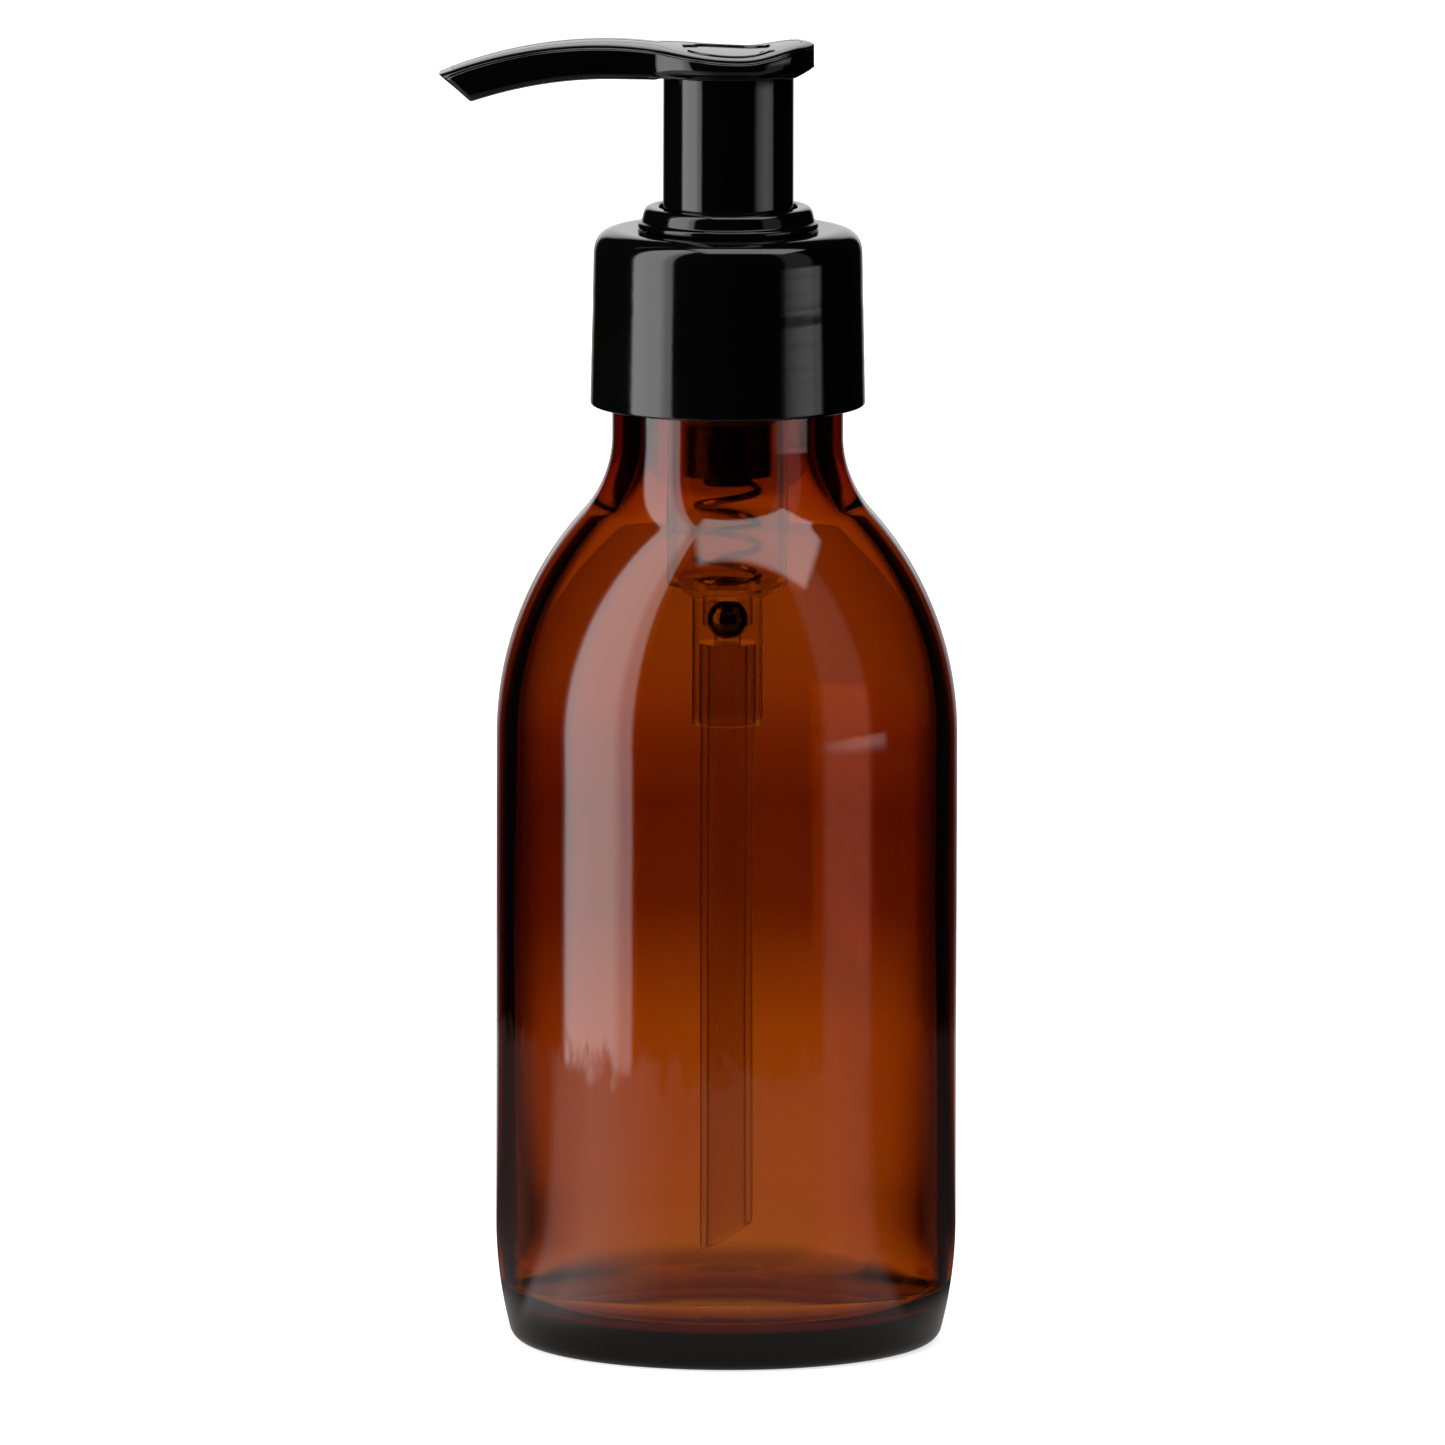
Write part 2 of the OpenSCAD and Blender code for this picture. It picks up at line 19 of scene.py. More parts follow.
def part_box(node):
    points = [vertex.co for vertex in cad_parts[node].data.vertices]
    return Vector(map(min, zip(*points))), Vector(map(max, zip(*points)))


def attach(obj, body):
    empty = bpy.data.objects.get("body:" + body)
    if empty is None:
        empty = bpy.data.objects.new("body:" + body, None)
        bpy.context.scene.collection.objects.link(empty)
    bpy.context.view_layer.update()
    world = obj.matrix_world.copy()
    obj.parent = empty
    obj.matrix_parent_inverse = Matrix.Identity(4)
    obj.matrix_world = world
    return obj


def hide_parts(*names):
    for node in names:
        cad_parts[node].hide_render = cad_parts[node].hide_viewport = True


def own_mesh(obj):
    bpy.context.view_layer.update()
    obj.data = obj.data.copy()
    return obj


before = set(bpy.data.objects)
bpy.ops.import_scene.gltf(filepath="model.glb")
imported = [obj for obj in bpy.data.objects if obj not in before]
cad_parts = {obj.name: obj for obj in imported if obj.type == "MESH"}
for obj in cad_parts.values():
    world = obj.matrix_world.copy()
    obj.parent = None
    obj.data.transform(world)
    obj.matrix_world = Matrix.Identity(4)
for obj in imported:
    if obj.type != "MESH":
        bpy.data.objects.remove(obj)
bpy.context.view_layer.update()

MM = 0.001
AROUND = 256
NOISE_SPAN = (0.3, 0.7)
Array = np.ndarray
Tree = bpy.types.NodeTree
Socket = bpy.types.NodeSocket
Corners = Sequence[tuple[float, float, float]]
log = logging.getLogger("dispenser")


# ---------------------------------------------------------------- small helpers


def linear(hex_colour: str) -> tuple[float, float, float, float]:
    """Turns an sRGB hex colour into linear RGBA.

    Args:
        hex_colour: six hex digits, such as "2B1205".

    Returns:
        Linear red, green and blue, and an alpha of 1.
    """
    s = np.array([int(hex_colour[i : i + 2], 16) for i in (0, 2, 4)]) / 255
    rgb = np.where(s <= 0.04045, s / 12.92, ((s + 0.055) / 1.055) ** 2.4)
    return (*(float(v) for v in rgb), 1.0)


def add(tree: Tree, kind: str, links: dict | None = None, **settings) -> bpy.types.Node:
    """Adds a node with its settings and links.

    Args:
        tree: the node tree that gets it.
        kind: the shader node's type name, without ShaderNode before it.
        links: input name or number to a value, or to an output socket of another node.
        settings: attributes of the node itself.

    Returns:
        The new node.
    """
    node = tree.nodes.new("ShaderNode" + kind)
    for name, value in settings.items():
        setattr(node, name, value)
    for name, value in (links or {}).items():
        if isinstance(value, Socket):
            tree.links.new(value, node.inputs[name])
        else:
            node.inputs[name].default_value = value
    return node


def math_node(
    tree: Tree, operation: str, first: "Socket | float", second: "Socket | float"
) -> Socket:
    """Adds a Math node on two numbers or sockets and gives its result."""
    return add(tree, "Math", {0: first, 1: second}, operation=operation).outputs[0]


def step(
    tree: Tree, value: Socket, low: float, high: float, start: float = 0.0, end: float = 1.0,
    smooth: bool = True,
) -> Socket:
    """Adds a step from start to end, smooth or straight, as the value goes from low to high."""
    return add(
        tree,
        "MapRange",
        {"Value": value, "From Min": low, "From Max": high, "To Min": start, "To Max": end},
        interpolation_type="SMOOTHSTEP" if smooth else "LINEAR",
    ).outputs["Result"]


def place_mm(tree: Tree, stretch: tuple[float, float, float] = (1, 1, 1)) -> Socket:
    """Adds object coordinates in millimetres, stretched along the making direction."""
    coords = add(tree, "TexCoord").outputs["Object"]
    scale = tuple(s / MM for s in stretch)
    return add(tree, "Mapping", {"Vector": coords, "Scale": scale}).outputs["Vector"]


def noise(tree: Tree, place: Socket, scale: float, detail: float, roughness: float = 0.5) -> Socket:
    """Adds a noise texture and gives its value."""
    links = {"Vector": place, "Scale": scale, "Detail": detail, "Roughness": roughness}
    return add(tree, "TexNoise", links).outputs["Fac"]


def bump(tree: Tree, height: Socket, strength: float, depth: float) -> Socket:
    """Adds a bump and gives its normal."""
    links = {"Height": height, "Strength": strength, "Distance": depth}
    return add(tree, "Bump", links).outputs["Normal"]


def ramp(tree: Tree, value: Socket, stops: Sequence[tuple[float, str]]) -> Socket:
    """Adds a colour ramp through (position, hex colour) stops."""
    node = add(tree, "ValToRGB", {"Fac": value})
    elements = node.color_ramp.elements
    elements[0].position, elements[-1].position = stops[0][0], stops[-1][0]
    elements[0].color, elements[-1].color = linear(stops[0][1]), linear(stops[-1][1])
    for where, colour in stops[1:-1]:
        elements.new(where).color = linear(colour)
    return node.outputs["Color"]


def blank_material(name: str) -> tuple[bpy.types.Material, Tree]:
    """A new material with an empty node tree, and that tree."""
    material = bpy.data.materials.new(name)
    material.use_nodes = True
    material.node_tree.nodes.clear()
    return material, material.node_tree


def span(node: str) -> tuple[list[float], list[float]]:
    """The lowest and highest corner of a CAD node, in millimetres."""
    low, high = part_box(node)
    return [float(v) / MM for v in low], [float(v) / MM for v in high]


def arc(x: float, z: float, radius: float, start: float, end: float, steps: int) -> Array:
    """Points on a circle: (x + R cos a, z + R sin a) as a goes from start to end, in degrees."""
    a = np.radians(np.linspace(start, end, steps + 1))
    return np.column_stack([x + radius * np.cos(a), z + radius * np.sin(a)])


def rounded(corners: Corners, steps: int = 6) -> Array:
    """Rounds the inner corners of an outline.

    Each corner P with radius r gives a quadratic curve from P - tu to P + tv, where u and v are the
    directions in and out and t is how far an arc of radius r would reach along each side.

    Args:
        corners: (x, z, radius) for each corner, in order.
        steps: segments for each rounding.

    Returns:
        Points of the rounded outline.
    """
    pts = np.array([c[:2] for c in corners], float)
    out = [pts[:1]]
    for before, here, after, (_, _, r) in zip(pts, pts[1:], pts[2:], corners[1:-1]):
        u, v = here - before, after - here
        lu, lv = np.linalg.norm(u), np.linalg.norm(v)
        turn = math.acos(float(np.clip(u @ v / (lu * lv), -1, 1)))
        t = min(r * math.tan(turn / 2), 0.49 * lu, 0.49 * lv)
        if t < 1e-4:
            out.append(here[None])
            continue
        s = np.linspace(0, 1, steps + 1)[:, None]
        a, b = here - u / lu * t, here + v / lv * t
        out.append((1 - s) ** 2 * a + 2 * s * (1 - s) * here + s**2 * b)
    out.append(pts[-1:])
    return np.vstack(out)


def dense(points: Array, step: float) -> Array:
    """Splits the long sides of an outline so that no side is longer than step."""
    parts = []
    for a, b in zip(points, points[1:]):
        n = max(1, math.ceil(float(np.linalg.norm(b - a)) / step))
        parts.append(a + (b - a) * (np.arange(n) / n)[:, None])
    parts.append(points[-1:])
    return np.vstack(parts)


def closed(corners: Corners, step: float, steps: int = 6) -> Array:
    """Rounds a closed outline whose first corner lies on a straight side, and splits long sides."""
    return dense(rounded([*corners, corners[0]], steps), step)[:-1]


def mirrored(half: Sequence[tuple[Array, Array]]) -> tuple[Array, Array]:
    """Sections from their right halves: widths and heights, the left half going back up."""
    y = np.stack([p[0] for p in half], axis=1)
    z = np.stack([p[1] for p in half], axis=1)
    return np.hstack([y, -y[:, -2:0:-1]]), np.hstack([z, z[:, -2:0:-1]])


def smoothstep(low: float, high: float, x: Array) -> Array:
    """0 below low, 1 above high, and 3t^2 - 2t^3 between them."""
    t = np.clip((x - low) / (high - low), 0, 1)
    return t * t * (3 - 2 * t)


@dataclass
class Shell:
    """A closed surface as points in millimetres and faces of point numbers."""

    points: Array
    faces: list[Array] = field(default_factory=list)

    def outward(self) -> "Shell":
        """Turns every face round if the shell's signed volume is negative."""
        volume = 0.0
        for f in self.faces:
            p = self.points[f]
            for i in range(1, f.shape[1] - 1):
                volume += float(np.sum(p[:, 0] * np.cross(p[:, i], p[:, i + 1])))
        if volume < 0:
            self.faces = [f[:, ::-1] for f in self.faces]
        return self


def grid_shell(rows: Array, ring: bool) -> Shell:
    """Joins a grid of points into a closed shell.

    Args:
        rows: points of shape (n, m, 3); each row is a closed loop of m points.
        ring: True if the last row joins the first, as on a torus; otherwise a fan to the middle
            closes the first and the last row.

    Returns:
        The shell, with outward faces.
    """
    n, m = rows.shape[:2]
    points = rows.reshape(-1, 3)
    i = np.arange(n if ring else n - 1)[:, None]
    j = np.arange(m)[None]
    k = (j + 1) % m
    quads = np.stack(
        [i * m + j, i * m + k, (i + 1) % n * m + k, (i + 1) % n * m + j], axis=-1
    ).reshape(-1, 4)
    faces = [quads]
    if not ring:
        ends = np.stack([rows[0].mean(axis=0), rows[-1].mean(axis=0)])
        first, last = len(points), len(points) + 1
        points = np.vstack([points, ends])
        j, k = j[0], k[0]
        base = (n - 1) * m
        faces.append(np.column_stack([np.full(m, first), k, j]))
        faces.append(np.column_stack([np.full(m, last), base + j, base + k]))
    return Shell(points, faces).outward()


Swell = Callable[[Array, Array, Array], Array]


def lathe(profile: Array, swell: Swell | None = None, around: int = AROUND) -> Shell:
    """Turns a profile about the z axis: x = r cos t, y = r sin t, z = h.

    A profile that starts and ends on the axis closes in a pole at each end; any other is taken as
    a closed loop and gives a ring.

    Args:
        profile: (radius, height) points.
        swell: optional change of radius from radius, height and angle.
        around: points in a turn.

    Returns:
        The closed shell.
    """
    poled = profile[0, 0] < 1e-6 and profile[-1, 0] < 1e-6
    p = profile[1:-1] if poled else profile
    t = np.arange(around) / around * 2 * np.pi
    r, h, a = np.broadcast_arrays(p[:, :1], p[:, 1:], t[None])
    if swell is not None:
        r = r + swell(r, h, a)
    rows = np.stack([r * np.cos(a), r * np.sin(a), h], axis=-1)
    return grid_shell(rows, ring=not poled)


def helix_ridge(pitch: float, low: float, turns: float, flat: float, foot: float) -> Callable:
    """A screw ridge's share of its full height at (height, angle).

    The ridge's middle is at z = low + pitch * (turn + t / 2 pi). Its share is 1 within flat / 2 of
    that line and falls to 0 at foot / 2, and it fades in and out over its first and last tenth turn.
    """

    def share(h: Array, a: Array) -> Array:
        """The ridge's share at height h and angle a."""
        best = np.zeros(np.broadcast(h, a).shape)
        for turn in range(math.ceil(turns)):
            along = turn + a / (2 * np.pi)
            off = np.abs(h - low - pitch * along)
            rise = np.clip((foot / 2 - off) / (foot / 2 - flat / 2), 0, 1)
            fade = smoothstep(0, 0.1, along) * smoothstep(0, 0.1, turns - along)
            best = np.maximum(best, rise * fade)
        return best

    return share


def put(name: str, shells: Sequence[Shell], sharp: float = 50) -> bpy.types.Object:
    """Writes shells into one mesh object at the origin.

    Args:
        name: the piece's name.
        shells: closed shells in millimetres.
        sharp: edges that turn by more degrees than this stay crisp.

    Returns:
        The object, linked to the scene.
    """
    mesh = bpy.data.meshes.new(name)
    start, points, faces = 0, [], []
    for shell in shells:
        points.append(shell.points * MM)
        for f in shell.faces:
            faces += (f + start).tolist()
        start += len(shell.points)
    mesh.from_pydata(np.vstack(points).tolist(), [], faces)
    mesh.polygons.foreach_set("use_smooth", np.ones(len(mesh.polygons), bool))
    mesh.set_sharp_from_angle(angle=math.radians(sharp))
    mesh.validate()
    mesh.update()
    piece = bpy.data.objects.new(name, mesh)
    bpy.context.scene.collection.objects.link(piece)
    return piece


# ---------------------------------------------------------------- finishes


class Grain(Enum):
    """How a bump pattern is made."""

    SOFT = "NOISE"
    CELLS = "VORONOI"


@dataclass(frozen=True)
class Finish:
    """A moulded or drawn surface whose colour, gloss and relief vary a little with place."""

    name: str
    dark: str
    pale: str
    drift_mm: float
    rough: tuple[float, float]
    relief_mm: float
    relief: float
    ior: float = 1.49
    metallic: float = 0.0
    transmission: float = 0.0
    subsurface: float = 0.0
    stretch: tuple[float, float, float] = (1, 1, 1)
    grain: Grain = Grain.SOFT

    def build(self) -> bpy.types.Material:
        """Makes the material: drifting colour, mottled roughness and a fine relief."""
        material, tree = blank_material(self.name)
        place = place_mm(tree, self.stretch)
        drift = noise(tree, place, 1 / self.drift_mm, 3.0, 0.55)
        if self.grain is Grain.CELLS:
            cells = add(tree, "TexVoronoi", {"Vector": place, "Scale": 1 / self.relief_mm})
            height = cells.outputs["Distance"]
        else:
            height = noise(tree, place, 1 / self.relief_mm, 2.0)
        shader = add(
            tree,
            "BsdfPrincipled",
            {
                "Base Color": ramp(tree, drift, tuple(zip(NOISE_SPAN, (self.dark, self.pale)))),
                "Roughness": step(tree, drift, *NOISE_SPAN, *self.rough, smooth=False),
                "Normal": bump(tree, height, self.relief, self.relief_mm * MM * 0.1),
                "Metallic": self.metallic,
                "Transmission Weight": self.transmission,
                "Subsurface Weight": self.subsurface,
                "Subsurface Scale": 1.5 * MM,
            },
        )
        if not self.metallic:
            shader.inputs["IOR"].default_value = self.ior
        add(tree, "OutputMaterial", {"Surface": shader.outputs["BSDF"]})
        return material


@dataclass(frozen=True)
class AmberGlass:
    """Blown amber soda-lime glass: clear gloss outside, its brown from the depth of the wall."""

    name: str = "amber_glass"
    tint: str = "EDC400"
    depth_mm: float = 0.74
    ior: float = 1.51
    ripple_mm: float = 9.0
    ripple_depth: float = 0.12
    stretch: float = 0.35
    rough: float = 0.03

    def build(self) -> bpy.types.Material:
        """Makes the glass: faint ripples from the mould, and absorption through its depth."""
        material, tree = blank_material(self.name)
        ripple = noise(tree, place_mm(tree, (1, 1, self.stretch)), 1 / self.ripple_mm, 1.5)
        shader = add(
            tree,
            "BsdfPrincipled",
            {
                "Base Color": (1.0, 1.0, 1.0, 1.0),
                "Roughness": step(tree, ripple, 0.35, 0.65, 0.0, self.rough, smooth=False),
                "Normal": bump(tree, ripple, 0.25, self.ripple_depth * MM),
                "Transmission Weight": 1.0,
                "IOR": self.ior,
            },
        )
        depth = add(
            tree,
            "VolumeAbsorption",
            {"Color": linear(self.tint), "Density": 1 / (self.depth_mm * MM)},
        )
        add(
            tree,
            "OutputMaterial",
            {"Surface": shader.outputs["BSDF"], "Volume": depth.outputs["Volume"]},
        )
        return material


# Polypropylene from a polished mould: deep black, wet gloss, barely visible flow drift.
BLACK_GLOSS = Finish("black_polypropylene", "040404", "070707", 14, (0.06, 0.1), 0.9, 0.04)
# Dark polypropylene inside the pump, moulded without a polish.
BLACK_INNER = Finish("black_inner_polypropylene", "2C2C2B", "3A3A38", 6, (0.22, 0.3), 0.5, 0.08)
# Natural polypropylene, moulded thin: lets light and outlines through. Its index is set low, so
# that the thin walls keep faint edges behind the amber glass.
NATURAL_PP = Finish(
    "natural_polypropylene", "E9E4D8", "F6F3EC", 5, (0.26, 0.34), 0.8, 0.05, ior=1.08,
    transmission=1.0
)
# Extruded polyethylene tube: cloudy, with faint draw lines along it, its index low as above.
TUBE_PE = Finish(
    "extruded_polyethylene", "E6E0D2", "F6F2E8", 4, (0.26, 0.36), 0.6, 0.04, ior=1.07,
    transmission=1.0, stretch=(1, 1, 0.15)
)
# Waxy soft polyethylene of the piston.
PISTON_PE = Finish(
    "waxy_polyethylene", "DAD6CA", "ECE9DF", 3, (0.4, 0.5), 0.4, 0.1, subsurface=0.3
)
# Foamed sheet: closed cells about 0.4 mm across.
GASKET_FOAM = Finish(
    "foamed_polyethylene", "D8D6CF", "EFEDE7", 1.5, (0.6, 0.75), 0.4, 0.5, grain=Grain.CELLS
)
# Drawn stainless wire: bright with fine draw marks.
SPRING_WIRE = Finish(
    "drawn_stainless_wire", "8D8D90", "B4B4B6", 0.8, (0.18, 0.32), 0.15, 0.2, metallic=1.0
)
# Ground and polished ball.
POLISHED_BALL = Finish(
    "polished_stainless_ball", "5C5C60", "7A7A7E", 1.2, (0.05, 0.12), 0.3, 0.05, metallic=1.0
)
AMBER = AmberGlass()


@dataclass
class Maker:
    """Keeps one material for each finish and dresses pieces with it."""

    made: dict[str, bpy.types.Material] = field(default_factory=dict)

    def material(self, finish: Finish | AmberGlass) -> bpy.types.Material:
        """The finish's material, made once."""
        if finish.name not in self.made:
            self.made[finish.name] = finish.build()
        return self.made[finish.name]

    def dress(self, piece: bpy.types.Object, finish: Finish | AmberGlass) -> None:
        """Gives a new piece its only material."""
        piece.data.materials.clear()
        piece.data.materials.append(self.material(finish))

    def dress_node(self, node: str, finish: Finish) -> None:
        """Puts a finish in every slot of a CAD node's object."""
        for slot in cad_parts[node].material_slots:
            slot.material = self.material(finish)

    def fit(
        self, piece: bpy.types.Object, body: str, node: str, finish: Finish | AmberGlass
    ) -> bpy.types.Object:
        """Dresses a piece, lets it ride on its body and stand for its CAD node.

        Args:
            piece: the new object.
            body: the body that carries it.
            node: the CAD node that it stands for.
            finish: what it is made of.

        Returns:
            The same object.
        """
        self.dress(piece, finish)
        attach(piece, body)
        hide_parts(node)
        log.info("%s: %d faces on %s", piece.name, len(piece.data.polygons), body)
        return piece


# ---------------------------------------------------------------- the bottle


@dataclass
class Bottle:
    """The glass bottle: all sizes in millimetres."""

    shoulder_z: float = 70.0
    shoulder_arc: float = 38.0
    neck_r: float = 13.15
    neck_fillet: float = 13.0
    wall: float = 2.2
    bore: float = 10.0
    inner_fillet: float = 12.0
    root: float = 12.5
    crest: float = 13.75
    pitch: float = 4.23
    turns: float = 1.5
    ridge_top: float = 120.2
    heel_top: float = 14.0
    heel_arc: float = 50.0
    heel_round: float = 2.0
    foot_width: float = 1.4
    push_up: float = 1.2
    floor: float = 4.2
    floor_round: float = 3.4
    neck_step: float = 108.6
    line_z: float = 104.9
    line_h: float = 0.03
    wave: float = 0.045

    def __post_init__(self) -> None:
        """Reads the bottle's radius and height from the frame."""
        high = span("glass_bottle")[1]
        self.radius, self.lip = high[0], high[2]

    def outside(self) -> Array:
        """The outer profile, from the middle of the base up to the lip.

        The shoulder is an arc whose centre lies beyond the axis at the height where the body ends,
        and a fillet touches both that arc and the neck, so the centres of the two are as far apart
        as the sum of their radii.
        """
        cx = self.radius - self.shoulder_arc
        fx = self.neck_r + self.neck_fillet
        reach = self.shoulder_arc + self.neck_fillet
        rise = math.sqrt(reach**2 - (fx - cx) ** 2)
        meet = math.degrees(math.asin(rise / reach))
        fz = self.shoulder_z + rise
        hx = self.radius - self.heel_arc
        drop = self.heel_top - self.heel_round
        lean = math.degrees(math.asin(drop / (self.heel_arc - self.heel_round)))
        foot = hx + math.sqrt((self.heel_arc - self.heel_round) ** 2 - drop**2)
        bowl = foot - self.foot_width
        bowl_arc = (bowl**2 + self.push_up**2) / (2 * self.push_up)
        half = math.degrees(math.asin(bowl / bowl_arc))
        base = arc(0, self.push_up - bowl_arc, bowl_arc, 90, 90 - half, 24)
        base[0, 0] = 0
        rim = arc(bowl + 0.35, 0.35, 0.35, 250, 270, 3)
        heel = arc(foot, self.heel_round, self.heel_round, 270, 360 - lean, 16)
        side = arc(hx, self.heel_top, self.heel_arc, -lean, 0, 16)[1:]
        body = dense(np.array([[self.radius, self.heel_top], [self.radius, self.shoulder_z]]), 2)[1:]
        shoulder = arc(cx, self.shoulder_z, self.shoulder_arc, 0, meet, 48)[1:]
        fillet = arc(fx, fz, self.neck_fillet, 180 + meet, 180, 24)[1:]
        neck = rounded(
            [
                (self.neck_r, fz, 0),
                (self.neck_r, self.neck_step, 0.5),
                (self.root, self.neck_step + 0.8, 0.4),
                (self.root, self.lip, 0.8),
                (self.bore + 0.8, self.lip, 0),
            ]
        )[1:]
        return np.vstack([base[:-1], rim, heel, side, body, shoulder, fillet, dense(neck, 0.22)])

    def inside(self) -> Array:
        """The inner profile, from the lip down to the middle of the floor."""
        cx = self.radius - self.shoulder_arc
        big = self.shoulder_arc - self.wall
        fx = self.bore + self.inner_fillet
        rise = math.sqrt((big + self.inner_fillet) ** 2 - (fx - cx) ** 2)
        meet = math.degrees(math.asin(rise / (big + self.inner_fillet)))
        fz = self.shoulder_z + rise
        inner = self.radius - self.wall
        lip = arc(self.bore + 0.8, self.lip - 0.8, 0.8, 90, 180, 6)[1:]
        bore = dense(np.array([[self.bore, self.lip - 0.8], [self.bore, fz]]), 1.5)[1:]
        fillet = arc(fx, fz, self.inner_fillet, 180, 180 + meet, 20)[1:]
        shoulder = arc(cx, self.shoulder_z, big, meet, 0, 40)[1:]
        bottom = self.floor + self.floor_round
        body = dense(np.array([[inner, self.shoulder_z], [inner, bottom]]), 2)[1:]
        heel = arc(inner - self.floor_round, bottom, self.floor_round, 0, -90, 14)[1:]
        ground = np.column_stack([np.linspace(heel[-1, 0], 0, 26)[1:], np.zeros(25)])
        ground[:, 1] = self.floor + 0.5 * (1 - (ground[:, 0] / heel[-1, 0]) ** 2)
        return np.vstack([lip, bore, fillet, shoulder, body, heel, ground])

    def swell(self, radius: Array, height: Array, angle: Array) -> Array:
        """Screw ridge, mould line and the uneven inner wall of blown glass.

        The ridge stands on the neck, the mould line is a low ring under the collar, and the inner
        wall wanders by a few hundredths of a millimetre in slow waves round and along.
        """
        low = self.ridge_top - self.turns * self.pitch
        ridge = helix_ridge(self.pitch, low, self.turns, 1.1, 2.1)(height, angle)
        outer = (radius > self.root - 0.1) & (height > self.neck_step + 1)
        grown = np.where(outer, ridge * (self.crest - self.root), 0)
        line = np.exp(-(((height - self.line_z) / 0.12) ** 2)) * self.line_h
        near_line = (radius > self.neck_r - 0.5) & (height > self.line_z - 1.9)
        grown = grown + np.where(near_line, line, 0)
        inner = (radius < self.radius - self.wall + 0.2) & (height > self.floor + 1)
        inner &= height < self.neck_step - 6
        wave = np.sin(2 * angle + 0.7) * np.sin(height / 19)
        wave += 0.6 * np.sin(3 * angle - height / 23) + 0.4 * np.sin(5 * angle + height / 11)
        taper = smoothstep(8, 20, height) * smoothstep(102, 90, height)
        taper = taper * smoothstep(10, 14, radius)
        inside = radius < self.outside_radius(height) - 0.8
        return grown + np.where(inner & inside, self.wave * wave * taper, 0)

    def outside_radius(self, height: Array) -> Array:
        """The outer radius at each height between heel and neck."""
        profile = self.outside()
        keep = profile[:, 1] > self.heel_round
        return np.interp(height, profile[keep, 1], profile[keep, 0])

    def build(self, maker: Maker) -> None:
        """Turns the two profiles into one closed glass wall."""
        profile = np.vstack([self.outside(), self.inside()])
        profile[-1, 0] = 0
        piece = put("bottle_glass", [lathe(profile, self.swell)], sharp=60)
        maker.fit(piece, "bottle", "glass_bottle", AMBER)


# ---------------------------------------------------------------- collar, ring and sleeve


@dataclass
class Closure:
    """The screw collar, the lock ring on it and the sleeve in the ring."""

    bore: float = 14.0
    hole: float = 9.5
    ceiling_t: float = 1.8
    edge_round: float = 3.0
    draft: float = 0.41
    pitch: float = 4.23
    ridge_turns: float = 1.25
    ridge_low: float = 116.345
    crest: float = 12.8
    sink: float = 0.034
    mould: float = 0.006
    rim_h: float = 2.43
    rim_r: float = 9.45
    cup_r: float = 8.4
    guide: float = 7.85
    stem_hole: float = 2.82
    sleeve_wall: float = 0.85

    def collar_swell(self, radius: Array, height: Array, angle: Array) -> Array:
        """The ridge inside, and outside the faint sink line that follows it."""
        low, high = span("screw_collar")
        share = helix_ridge(self.pitch, self.ridge_low, self.ridge_turns, 1.1, 2.1)(height, angle)
        inside = np.abs(radius - self.bore) < 0.05
        inside &= height < high[2] - self.ceiling_t - 0.3
        track = helix_ridge(self.pitch, self.ridge_low, self.ridge_turns, 0.2, 3.6)(height, angle)
        outside = radius > self.bore + 0.6
        mould = self.mould * np.sin(height * 2.3) * smoothstep(low[2] + 1, low[2] + 4, height)
        grown = np.where(inside, -share * (self.bore - self.crest), 0)
        edge = smoothstep(high[2] - 3.2, high[2] - 4.5, height)
        return grown + np.where(outside, (mould - self.sink * track) * edge, 0)

    def collar(self, maker: Maker) -> None:
        """A cup with a hole in its top, its wall drawn in slightly towards the top."""
        low, high = span("screw_collar")
        foot, top, wide = low[2], high[2], high[0]
        ceiling = top - self.ceiling_t
        profile = closed(
            [
                (self.bore, foot + 4, 0),
                (self.bore, foot, 0.35),
                (wide, foot, 0.35),
                (wide - self.draft, top, self.edge_round),
                (self.hole, top, 0.3),
                (self.hole, ceiling, 0.2),
                (self.bore, ceiling, 0.5),
            ],
            step=0.24,
            steps=14,
        )
        piece = put("collar_shell", [lathe(profile, self.collar_swell)])
        maker.fit(piece, "collar", "screw_collar", BLACK_GLOSS)

    def ring(self, maker: Maker) -> None:
        """The lock ring: a stepped rim above the collar and a deep guide cup below it."""
        low, high = span("lock_ring")
        foot_r, top, floor = high[0], high[2], low[2]
        seat = top - self.rim_h
        profile = closed(
            [
                (self.stem_hole, floor + 0.5, 0),
                (self.stem_hole, floor, 0.15),
                (self.cup_r, floor, 0.3),
                (self.cup_r, seat, 0.1),
                (foot_r, seat, 0.15),
                (foot_r, seat + 0.55, 0.3),
                (self.rim_r + 0.4, seat + 0.8, 0.25),
                (self.rim_r, top, 0.9),
                (self.guide, top, 0.35),
                (self.guide, floor + 1, 0.3),
                (self.stem_hole, floor + 1, 0.1),
            ],
            step=1.2,
            steps=8,
        )
        piece = put("lock_ring_shell", [lathe(profile)])
        maker.fit(piece, "pump_body", "lock_ring", BLACK_GLOSS)

    def sleeve(self, maker: Maker) -> None:
        """The smooth tube between the head and the lock ring."""
        low, high = span("head_sleeve")
        wide, foot, top = high[0], low[2], high[2]
        inner = wide - self.sleeve_wall
        profile = closed(
            [
                (inner, foot + 3, 0),
                (inner, foot, 0.3),
                (wide, foot, 0.3),
                (wide - 0.02, top, 0.12),
                (inner, top, 0.1),
            ],
            step=1.5,
        )
        piece = put("sleeve_tube", [lathe(profile)])
        maker.fit(piece, "head", "head_sleeve", BLACK_GLOSS)


# ---------------------------------------------------------------- the spout head


